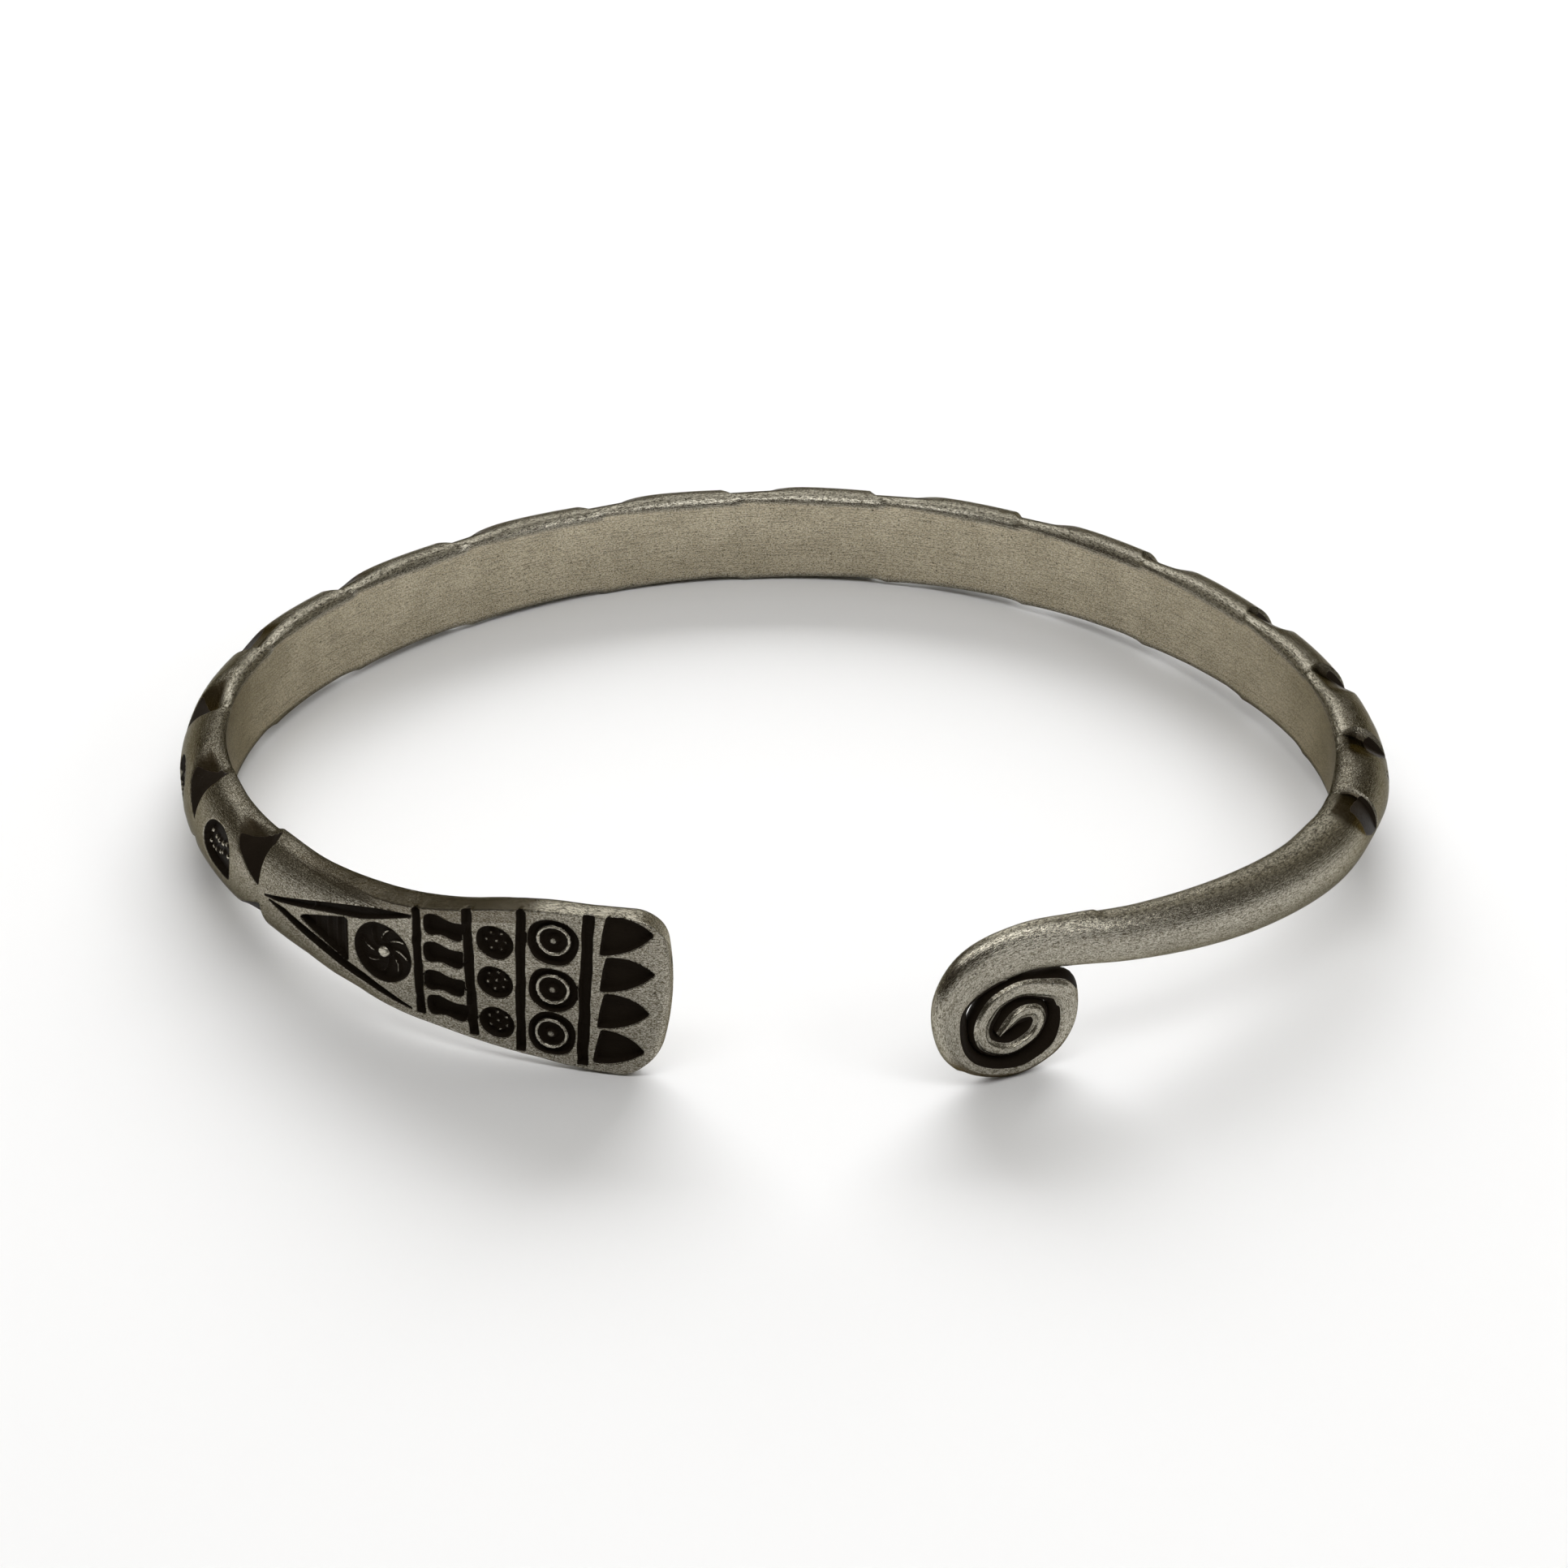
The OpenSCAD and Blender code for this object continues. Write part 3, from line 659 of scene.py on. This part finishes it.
def target_rings(s, b):
    """A ring and a dot in each ring mark."""
    for k, (*_, x, y) in enumerate(TARGETS):
        r, angle = np.hypot(s - x, b - y), np.arctan2(b - y, s - x)
        grain = 0.9 + 0.1 * np.sin(26 * angle + k) * np.sin(11 * angle)
        ring = np.clip(1 - ((r - RING_R - 0.012 * np.sin(3 * angle + k)) / RING_W) ** 2, 0, 1)
        yield 0.36 * ring * grain, ramp(ring * grain, 0.1, 0.9)
        dot = ramp(r, DOT_R + 0.1, DOT_R - 0.12)
        yield 0.30 * dot, 0.67 * dot


def oval_grains(s, b):
    """Two uneven lines of grains in each oval mark of the band."""
    for k, (at, up) in enumerate(OVALS):
        for j in range(11):
            x = -1.25 + 0.42 * (j % 6) + (0.21 if j > 5 else 0) + 0.07 * math.sin(9.1 * j + k)
            y = (0.34 if j > 5 else -0.30) + 0.14 * math.sin(5.3 * j + 2 * k)
            if abs(x) <= 1.3:
                grain = bump_at(s, b, (at + x, up + y), 0.21, 0.19)
                yield grain, 0.80 * (grain > 0.11)


def mark_relief(s, b):
    """Height of the raised details above the floor of the marks, and how bright their tops are: kept free of
    black, and given a painted highlight.
    """
    rise, bright = np.zeros(s.shape), np.zeros(s.shape)
    for details in (triangle_ridges, eye_rays, berry_grains, target_rings, oval_grains):
        for height, shine in details(s, b):
            rise, bright = np.maximum(rise, height), np.maximum(bright, shine)
    return rise, bright


# Values of the rows that spread over their rings' points, and the points' numbers in a ring
S_ROW, UP_ROW, W_ROW, T_ROW, RIM_ROW = ROWS.T[:RIM + 1, :, None]
COLUMN = np.arange(COLUMNS)[None]
COIL_START = GONE[np.argmax(ROWS[:, ALONG] < -80.2)]
SINCE = (GONE - COIL_START)[:, None]  # how far a row lies past the start of the coil
LEFT = (GONE[-1] - GONE)[:, None]  # how far the tip is from it
IS_WIRE = (np.arange(len(ROWS)) > np.argmax(ROWS[:, ALONG] < WIRE_FROM))[:, None]
SIDE_END, INNER_END = FACE + SIDE, FACE + SIDE + BACK

SLIT = 0.02  # gap left between two turns of the coil
OPEN_AT, OPEN_R = (-81.65, 0.1), 0.8  # where the gap after the coil's first bend stays wide
OUTER_BULGE, TIP_BULGE = 0.12, 0.3  # where no turn follows outside, and added inside near the tip
# The coil's face is black inwards of a line: distance since its start, share of half the width
WORN_FROM = ([1, 3.5, 5.9, 7.8, 10.3, 12.5, 15], [0.85, 0.36, 0.36, 0.42, 0.48, 0.6, 1.0])
BEVEL = 0.14
SNAP_FINE, SNAP_COARSE = 0.046, 0.085  # how far points are moved onto an outline
WALL_FINE, WALL_COARSE, GROOVE_WALL = 0.085, 0.16, 0.17  # width of a mark's sloping wall
END_ROUND = 0.42  # length over which the head's end is rounded
SHRINK, LIFT = 0.985, 0.008  # bring the heights in a hair, so that the mesh stays inside the CAD box


def steep_shift(b, out):
    """How far points move along the bar: the steep sides fall back on the flanks, the head's end bulges."""
    half_w = np.maximum(np.abs(b).max(1, keepdims=True), 0.3)
    slanted = ramp(S_ROW, 64, 60) * ramp(S_ROW, -58, -55)
    fall = np.clip((FLANK_T - out) / FLANK_T, 0, 1) ** 1.2
    shift = slanted * (LEAN * np.abs(b) / half_w - (WALL_LEAD + LEAN) * fall)
    bulge = END_BULGE * (1 - ((b - END_RISE) / END_REACH) ** 2)
    return shift + bulge * ramp(S_ROW, HEAD_END - 2.4, HEAD_END)


def mark_values(s, b):
    """For points on the face: their places, moved onto a close outline so that marks get clean edges, the
    depth punched there, how black they are, and a painted highlight on their raised details and along their
    rims."""
    d = mark_distance(s, b)
    e = 0.004
    gx = (mark_distance(s + e, b) - d) / e
    gy = (mark_distance(s, b + e) - d) / e
    norm = np.maximum(np.hypot(gx, gy), 1e-6)
    close = np.abs(d) < np.where(s > SPLIT, SNAP_FINE, SNAP_COARSE)
    move = np.where(close, -d, 0) / norm
    s, b = s + move * gx / norm, b + move * gy / norm
    d = np.where(close, 0, d)
    rise, bright = mark_relief(s, b)
    deep = MARK_DEPTH * ramp(-d, 0, np.where(s > SPLIT, WALL_FINE, WALL_COARSE))
    groove = np.minimum(*[stroke_distance(s, b, g) for g in GROOVES]) < SPREAD
    deep = np.where(groove, GROOVE_DEPTH * ramp(-d, 0, GROOVE_WALL), deep)
    clear = ramp(-d, 0, 0.14)  # 0 at a mark's wall, 1 on its floor
    rise = rise * (d < -0.03) * clear
    black = (0.3 + 0.7 * ramp(-d, 0, 0.05)) * (d <= 0) * (1 - bright * clear)
    # a painted highlight in a thin line just outside each mark's rim on the head
    mark_rim_highlight = 0.45 * np.exp(-(d / 0.07) ** 2) * (d > 0) * ramp(s, 50, 52)
    # painted highlight on the raised details' tops, which are also rubbed
    detail_highlight = np.maximum(0.7 * bright * clear * (d < -0.03), mark_rim_highlight)
    return s, b, np.maximum(deep - rise, 0), black, detail_highlight


def punched(s, b, out):
    """The points with the marks punched into the face, how black the marks are, and their painted highlights.
    """
    on_face = (COLUMN <= FACE) & (S_ROW > -49) & (S_ROW < HEAD_END - 0.02)
    depth, black, detail_highlight = np.zeros((3, *s.shape))
    moved = b.copy()
    found = mark_values(s[on_face], (UP_ROW + b)[on_face])
    s[on_face], up, depth[on_face], black[on_face], detail_highlight[on_face] = found
    moved[on_face] = up - np.broadcast_to(UP_ROW, s.shape)[on_face]
    face = slice(FACE + 1)
    for i in np.nonzero(on_face.any(1))[0]:  # the face's height at the points' new places
        order = np.argsort(b[i, face])
        out[i, face] = np.interp(moved[i, face], b[i, face][order], out[i, face][order])
    return s, moved, out - depth, black, detail_highlight


def wedge_black():
    """Black oxide on the wedges, full at the steep side and worn off where they run out, and a soft brown
    over their cut slopes: partly patina, partly painted shade.
    """
    behind, out = BEHIND[:, None], RINGS[..., 1]
    near_head = 0.15 + 0.5 * ramp(S_ROW, 50, 44) + 0.45 * np.clip(behind, 0, 3)
    black_from = np.where((S_ROW > -34) & (S_ROW < 38), 1.5, np.where(S_ROW < 0, 1.6, near_head))
    fade = np.where(S_ROW < 0, ramp(behind, 2.5, 1.7), ramp(behind, 3.4, 2.3))
    black = ramp(CUTS, 0.015, 0.10) * fade * ramp(out - black_from, 0, 0.2)
    # brown over the wedges' cut slopes: partly patina, partly painted shade
    stain_and_shade = ramp(CUTS, 0, 0.08) * ramp(behind, WEDGE_REACH, 2.6) * ramp(out, 0.6, 0.9)
    return black, stain_and_shade


def turn_gap(side):
    """Half the gap from each row of the coil to the next turn on one side, less a slit, and softened."""
    place, hw = ROWS[:, :2], ROWS[:, WIDTH] / 2
    in_coil = np.arange(len(ROWS)) >= np.argmax(ROWS[:, ALONG] < -77)
    edge = place + side * ACROSS * hw[:, None]
    room = np.zeros(len(ROWS))
    for i in np.nonzero(in_coil)[0]:
        other = in_coil & (np.abs(GONE - GONE[i]) > 4)
        ahead = ((place[other] - place[i]) @ (side * ACROSS[i])) > 0
        if ahead.any():
            gap = np.hypot(*(place[other] - edge[i]).T) - hw[other]
            room[i] = np.clip((gap[ahead].min() - SLIT) / 2 * 1.15, 0, 0.75)
    soft = np.convolve(np.pad(room, 8, "edge"), np.hanning(17) / 8, "valid")[:len(room)]
    wide = np.exp(-(np.hypot(edge[:, 0] - OPEN_AT[0], edge[:, 1] - OPEN_AT[1]) / OPEN_R) ** 2)
    start = GONE[np.argmax(in_coil)]
    return soft * (1 - 0.8 * wide) * ramp(GONE, start, start + 3)


def side_room():
    """How far the wire's side inside the coil may bulge, and the one outside."""
    inner, outer = turn_gap(-1)[:, None], turn_gap(1)[:, None]
    inner = inner + TIP_BULGE * ramp(LEFT, 5.2, 6.5) * ramp(LEFT, 10.5, 9)
    free = (S_ROW < -70) & (LEFT > 15) & (LEFT < 36) & (UP_ROW > -3.2)
    return inner, np.where(free & (outer < 0.05), OUTER_BULGE, outer)


def bulged(b, out):
    """The coil's wire is round with its face filed flat, so its sides bulge towards the next turn."""
    inner, outer = side_room()
    deep_down = np.sin(np.pi * np.clip((out / T_ROW - 0.02) / 0.9, 0, 1)) ** 0.8
    towards_side = np.sign(b) * np.clip(np.abs(b) / (W_ROW / 2), 0, 1)
    return b + towards_side * deep_down * np.where(b > 0, outer, inner)


def coil_black(across, drop):
    """The black sides that face another turn of the coil. across runs over the width, from -1 inside the
    coil to 1, and drop is how far down a point lies, as a share of the thickness."""
    on_side = ramp(drop, 0.10, 0.2) * ramp(drop, 0.98, 0.90)
    facing = ramp(-across - np.interp(SINCE, *WORN_FROM), 0, 0.25) * (SINCE < 15) * (drop < 0.5)
    inner_side = np.maximum(on_side, facing) * (across < 0) * ramp(SINCE, -1.5, 0.8)
    outer_side = on_side * (across > 0) * ramp(LEFT, 15, 14)
    return np.maximum(inner_side, outer_side)


def bevelled(out, stain_and_shade, across):
    """A bevel along the lower edge of the coil's outer turn, with painted shade over it."""
    here = ramp(SINCE, 4.5, 7) * ramp(SINCE, 14, 12) * ramp(across, 0.2, 0.35)
    out = out - BEVEL * here * np.clip((across - 0.25) / 0.7, 0, 1) * ramp(out / T_ROW, 0.5, 0.9)
    # painted shade on the bevel, which faces down
    return out, np.maximum(stain_and_shade, 0.85 * here * ramp(out / T_ROW, 0.3, 0.5))


def hammered(s, b, out):
    """The head's end rounded, and its sides a little uneven from the hammer."""
    e = HEAD_END - S_ROW
    arc = np.sqrt(np.clip(1 - (1 - np.clip(e, 0, END_ROUND) / END_ROUND) ** 2, 0, 1))
    out = RIM_ROW + (out - RIM_ROW) * np.where(e < END_ROUND, 0.35 + 0.65 * arc, 1)
    lump = np.sin(1.37 * s + 0.7) * np.sin(0.61 * s + 2.1)
    lump = lump + 0.35 * np.sin(3.1 * s + 1.3 * b) * np.sin(0.9 * s)
    at_side = ((COLUMN > FACE) & (COLUMN < SIDE_END)) | (COLUMN > INNER_END)
    on_head = at_side * ramp(S_ROW, 58, 66)
    out = out + 0.02 * lump * on_head * (e > 0.5)
    return b - np.sign(b) * 0.014 * (1.4 + lump) * on_head, out


def rub_and_highlight_amounts(detail_highlight, across, drop):
    """The light colour that is painted on: highlights on the marks' raised details, whose tops are also
    rubbed, and along their rims, on the head's upper side, the band's upper edge and the wire, a little all
    along it and most on the shoulder before the coil and on the outer turn's ridge."""
    # painted highlight on the head's upper side
    head_side = (COLUMN > INNER_END) * ramp(S_ROW, 75.2, 76.6)
    edge = np.interp(COLUMN, INNER_END + np.array([-1, 0, 1, 4, 5.5]), [0, 0.5, 1, 1, 0])
    # painted highlight along the band's upper edge, on the rounding above the inner face
    band_edge = 0.65 * edge * ramp(S_ROW, 49, 44) * ramp(S_ROW, -50, -45)
    # painted highlights on the wire: its shoulder before the coil and the outer turn's ridge
    shoulder = np.exp(-((across - 0.64) / 0.18) ** 2) * ramp(SINCE, -9, -5) * ramp(SINCE, 1, -1)
    ridge = 0.85 * ramp(across, 0.78, 0.93) * ramp(SINCE, 2, -2)
    on_wire = np.maximum(IS_WIRE, ramp(S_ROW, -51, -57))
    wire = (0.2 + 0.8 * np.maximum(shoulder, ridge) * (drop < 0.9)) * on_wire
    return np.maximum(np.maximum(detail_highlight, head_side), np.maximum(wire, band_edge))


def build():
    """Every ring's points and the values that the material reads, with their places in the flat layout."""
    b, out = RINGS[..., 0].copy(), RINGS[..., 1].copy()
    s = S_ROW + steep_shift(b, out)
    s, b, out, oxide, detail_highlight = punched(s, b, out)
    black, stain_and_shade = wedge_black()
    b = bulged(b, out)
    across, drop = b / (W_ROW / 2), (T_ROW - out) / T_ROW
    oxide = np.where(IS_WIRE, coil_black(across, drop), np.maximum(oxide, black))
    out, stain_and_shade = bevelled(out, stain_and_shade, across)
    b, out = hammered(s, b, out)
    points = rested(bent(s + b * ACROSS[:, :1], UP_ROW + b * ACROSS[:, 1:], out * SHRINK + LIFT))
    # painted shade on the neck's upper side
    neck_shade = ((COLUMN > INNER_END) | (COLUMN < 10)) * ramp(S_ROW, 59, 62) * ramp(S_ROW, 76.6, 75.2)
    inside = (COLUMN > SIDE_END) & (COLUMN < INNER_END) & ~IS_WIRE
    flat = np.stack([np.broadcast_to(GONE[:, None] + (S_ROW - s), s.shape), b, out], -1)
    return points, {
        "oxide": oxide,
        "inside": inside,
        "stain_and_shade": np.maximum(stain_and_shade, 0.55 * neck_shade),
        "rub_and_highlight": rub_and_highlight_amounts(detail_highlight, across, drop),
        "flat": flat}


STEPS = np.where(ROWS[:, ALONG] < SPLIT, 2, 1)  # from one used column to the next


def used(values):
    """The values of the points that the mesh uses, row by row."""
    return np.concatenate([row[::step] for row, step in zip(values, STEPS)])


def skin():
    """The faces that join the rings into one closed mesh."""
    start = np.concatenate([[0], np.cumsum(COLUMNS // STEPS)])
    faces = []
    for i in range(len(STEPS) - 1):
        if STEPS[i] == STEPS[i + 1]:
            k = COLUMNS // STEPS[i]
            j = np.arange(k)
            a, b = start[i] + j, start[i] + (j + 1) % k
            faces += np.stack([a, b, b + k, a + k], -1).tolist()
        else:
            for j in range(COLUMNS // 2):
                f = [start[i] + (2 * j + q) % COLUMNS for q in range(3)]
                c = [start[i + 1] + (j + q) % (COLUMNS // 2) for q in range(2)]
                faces += [[f[0], f[1], c[0]], [f[1], c[1], c[0]], [f[1], f[2], c[1]]]
    return faces + [list(range(start[1]))[::-1], list(range(start[-2], start[-1]))]


def add_object(name, data, turn=np.eye(3), place=(0, 0, 0)):
    """A new object in the scene. The columns of turn are its own directions."""
    obj = bpy.data.objects.new(name, data)
    full = np.eye(4)
    full[:3, :3] = turn
    full[:3, 3] = place
    obj.matrix_world = Matrix(full.tolist())
    bpy.context.scene.collection.objects.link(obj)
    return obj


def make_cuff():
    """The fine mesh, which stands for the solid, with its material."""
    points, values = build()
    mesh = bpy.data.meshes.new("silver_cuff")
    mesh.from_pydata((used(points) * MM).tolist(), [], skin())
    mesh.update()
    for name, value in values.items():
        kind, field = ("FLOAT_VECTOR", "vector") if name == "flat" else ("FLOAT", "value")
        layer = mesh.attributes.new(name, kind, "POINT")
        layer.data.foreach_set(field, used(value).astype(np.float32).ravel())
    mesh.shade_smooth()
    mesh.materials.append(silver_material())
    cuff = add_object("silver_cuff", mesh)
    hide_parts("cuff")
    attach(cuff, "root")


class Nodes:
    """Adds nodes to one tree. Each input is a number, a tuple or another node's output."""

    def __init__(self, tree):
        self.tree = tree
        tree.nodes.clear()

    def put(self, socket, value):
        if isinstance(value, bpy.types.NodeSocket):
            self.tree.links.new(value, socket)
        elif socket.type == "RGBA":
            socket.default_value = (*value, 1)
        else:
            socket.default_value = value

    def add(self, kind, **inputs):
        made = self.tree.nodes.new(kind)
        for name, value in inputs.items():
            self.put(made.inputs[name.replace("_", " ")], value)
        return made

    def attribute(self, name, output="Fac"):
        made = self.add("ShaderNodeAttribute")
        made.attribute_name = name
        return made.outputs[output]

    def noise(self, place, scale, detail, rough, stretch=(1, 1, 1)):
        place = self.add("ShaderNodeMapping", Vector=place, Scale=stretch).outputs["Vector"]
        made = self.add("ShaderNodeTexNoise", Vector=place, Scale=scale, Detail=detail, Roughness=rough)
        return made.outputs["Fac"]

    def between(self, source, a, b, low=0.0, high=1.0):
        """low up to a, high from b on, and smooth between them."""
        made = self.add("ShaderNodeMapRange", Value=source, From_Min=a, From_Max=b, To_Min=low, To_Max=high)
        made.interpolation_type = "SMOOTHSTEP"
        return made.outputs["Result"]

    def maths(self, kind, a, b):
        made = self.add("ShaderNodeMath")
        made.operation = kind
        for socket, value in zip(made.inputs, (a, b)):
            self.put(socket, value)
        return made.outputs[0]

    def plus(self, a, b):
        return self.maths("ADD", a, b)

    def minus(self, a, b):
        return self.maths("SUBTRACT", a, b)

    def times(self, a, b):
        return self.maths("MULTIPLY", a, b)

    def surface(self, **inputs):
        shader = self.add("ShaderNodeBsdfPrincipled", **inputs)
        self.add("ShaderNodeOutputMaterial", Surface=shader.outputs["BSDF"])

    def mixed(self, factor, a, b):
        """Colour a where the factor is 0, and colour b where it is 1."""
        made = self.add("ShaderNodeMix", Factor=factor)
        made.data_type = "RGBA"
        for socket, value in zip([x for x in made.inputs if x.type == "RGBA"], (a, b)):
            self.put(socket, value)
        return [x for x in made.outputs if x.type == "RGBA"][0]


# Colours of the silver: the bare metal outside and inside in two shades each, and what lies over it: grain,
# brushing, pits, specks and black oxide, a brown for dirt and painted shade, and light colours for painted
# glints and painted highlights
OUTSIDE_DARK, OUTSIDE_LIGHT = (0.255, 0.238, 0.194), (0.335, 0.313, 0.260)
INSIDE_DARK, INSIDE_LIGHT = (0.54, 0.47, 0.33), (0.66, 0.58, 0.42)
GRAIN, BRUSHED, DULL = (0.13, 0.112, 0.075), (0.16, 0.14, 0.095), (0.09, 0.076, 0.05)
GLINT, RUB_HIGHLIGHT = (0.66, 0.63, 0.54), (0.78, 0.745, 0.63)
PIT, SPECK = (0.05, 0.04, 0.03), (0.06, 0.05, 0.035)
DIRT_AND_SHADE, OXIDE = (0.075, 0.056, 0.032), (0.015, 0.0108, 0.0072)
GLANCE = (0.35, 0.33, 0.28)
PAPER = (0.893, 0.898, 0.91)
BUMP_STRENGTH, BUMP_DISTANCE = 0.7, 0.00004


def new_material(name):
    mat = bpy.data.materials.new(name)
    mat.use_nodes = True
    return mat, Nodes(mat.node_tree)


def silver_material():
    """Mottled grey, grained and brushed, with painted highlights on edges, details and the wire, painted
    brown shade on the wedges, the neck and a bevel, and black in the marks. The texture follows the flat
    layout, in millimetres."""
    mat, n = new_material("aged_silver")
    flat = n.attribute("flat", "Vector")
    oxide, stain_and_shade, inside, rub_and_highlight = (n.attribute(name) for name in ("oxide", "stain_and_shade", "inside", "rub_and_highlight"))
    grain = n.noise(flat, 7, 3, 0.8, (0.55, 1.3, 1.3))
    fine = n.noise(flat, 15, 2, 0.6, (0.7, 1.2, 1.2))
    brush = n.noise(flat, 5, 4, 0.7, (0.08, 2.0, 2.0))
    cloud = n.between(n.noise(flat, 0.45, 3, 0.6), 0.35, 0.65)
    pit = n.between(n.noise(flat, 4.5, 2, 0.5), 0.69, 0.74)
    speck = n.between(n.noise(flat, 11, 2, 0.5), 0.64, 0.70)

    outside_tone = n.mixed(cloud, OUTSIDE_DARK, OUTSIDE_LIGHT)
    tone = n.mixed(inside, outside_tone, n.mixed(cloud, INSIDE_DARK, INSIDE_LIGHT))
    # brown: painted shade, with some patina by the wedges, broken up by the grain
    dirt_and_shade = n.plus(stain_and_shade, n.times(n.minus(grain, 0.5), 0.5))
    ragged = n.plus(oxide, n.times(n.minus(fine, 0.5), 0.22))
    black = n.between(ragged, 0.28, 0.42)
    for amount, colour in (
            (n.times(n.between(grain, 0.56, 0.40), n.between(inside, 0, 1, 0.8, 0.5)), GRAIN),
            (n.times(n.between(brush, 0.50, 0.34), 0.65), BRUSHED),
            (n.times(n.between(fine, 0.50, 0.62), 0.6), GLINT),
            (n.times(n.between(fine, 0.45, 0.36), 0.8), DULL),
            # painted highlights, partly on rubbed silver
            (n.times(rub_and_highlight, n.between(grain, 0.36, 0.56)), RUB_HIGHLIGHT),
            (n.times(pit, 0.75), PIT),
            (n.times(speck, 0.8), SPECK),
            (n.between(dirt_and_shade, 0.15, 0.95, 0, 0.85), DIRT_AND_SHADE),
            (black, OXIDE)):
        tone = n.mixed(amount, tone, colour)

    rough = n.plus(n.plus(0.16, n.times(grain, 0.16)), n.times(black, 0.25))
    height = n.plus(n.plus(n.times(grain, 0.6), n.times(brush, 0.7)), n.times(fine, 0.35))
    height = n.minus(height, n.times(pit, 0.7))
    bump = n.add("ShaderNodeBump", Strength=BUMP_STRENGTH, Distance=BUMP_DISTANCE, Height=height)
    n.surface(Base_Color=tone, Roughness=rough, Metallic=n.minus(1, black), Specular_IOR_Level=0.08,
              Specular_Tint=GLANCE, Normal=bump.outputs["Normal"])
    return mat


def floor():
    """A wide sheet of matt white paper."""
    made = bpy.data.meshes.new("floor")
    r = 3.0
    made.from_pydata([(-r, -r, 0), (r, -r, 0), (r, r, 0), (-r, r, 0)], [], [(0, 1, 2, 3)])
    mat, n = new_material("white_paper")
    n.surface(Base_Color=PAPER, Roughness=0.9, Specular_IOR_Level=0)
    made.materials.append(mat)
    add_object("floor", made)


def level(back):
    """The turn of a light or camera that is level and has its back towards a direction."""
    right = unit(np.cross([0, 0, 1], back))
    return np.stack([right, np.cross(back, right), back], 1)


# Soft lights: name, place, target, width and height in metres, watts, whether the silver mirrors it
LIGHTS = [
    ("back_light", (0, 0.81, 0.41), (0, 0, 0), (1, 0.50), 11.6, False),
    ("ceiling", (0, 0, 1.5), (0, 0.001, 0), (3, 3), 7, False),
    ("top_light", (0, -0.175, 0.385), (0, 0, 0), (0.50, 0.11), 0.50, True),
    ("side_light", (0.29, -0.19, 0.25), (0.01, -0.02, 0), (0.12, 0.08), 0.13, True),
    ("window", (-0.02, 0.43, 0.34), (0, 0, 0), (0.30, 0.20), 0.24, True)]


def softbox(name, place, target, size, watts, mirrored):
    data = bpy.data.lights.new(name, "AREA")
    data.shape = "RECTANGLE"
    data.size, data.size_y = size
    data.energy = watts
    obj = add_object(name, data, level(unit(np.subtract(place, target))), place)
    obj.visible_glossy = mirrored


CEILING, CAMERA_SIDE, FAR_SIDE = (0.42, 0.41, 0.38), (0.050, 0.041, 0.028), (0.16, 0.145, 0.115)


def world():
    """A studio with a bright ceiling, dark on the camera's side and half dark behind."""
    made = bpy.data.worlds.new("studio")
    bpy.context.scene.world = made
    made.use_nodes = True
    n = Nodes(made.node_tree)
    split = n.add("ShaderNodeSeparateXYZ", Vector=n.add("ShaderNodeTexCoord").outputs["Generated"])
    y, z = split.outputs["Y"], split.outputs["Z"]
    front = n.times(n.between(y, 0.25, -0.05), n.between(z, 0.93, 0.78))
    behind = n.times(n.between(y, 0.10, 0.35), n.between(z, 0.97, 0.85))
    colour = n.mixed(behind, n.mixed(front, CEILING, CAMERA_SIDE), FAR_SIDE)
    glow = n.add("ShaderNodeBackground", Color=colour)
    n.add("ShaderNodeOutputWorld", Surface=glow.outputs["Background"])


# The camera: its height angle, its distance from the point that it looks at, and the photograph's pixels
CAMERA_DEGREES, CAMERA_DISTANCE = 27.9, 400
LOOK_AT = np.array([1.2, -29.15, 0])
SENSOR_MM, PHOTO_SIDE_PX, FOCAL_PX, SHIFT_PX = 36, 1932, 9100, 15


def camera():
    """The camera looks down at the bar as it was laid out, before it was set down on its feet."""
    data = bpy.data.cameras.new("camera")
    data.sensor_width = SENSOR_MM
    data.lens = SENSOR_MM * FOCAL_PX / PHOTO_SIDE_PX
    data.shift_y = -SHIFT_PX / PHOTO_SIDE_PX
    data.clip_start, data.clip_end = 0.01, 10
    down = math.radians(CAMERA_DEGREES)
    back = np.array([0, -math.cos(down), math.sin(down)])
    place = rested(back * CAMERA_DISTANCE + LOOK_AT) * MM
    bpy.context.scene.camera = add_object("camera", data, TURN @ level(back), place)


make_cuff()
floor()
world()
for light in LIGHTS:
    softbox(*light)
camera()
view = bpy.context.scene.view_settings
view.view_transform = "Standard"
view.look = "None"
view.exposure = 0
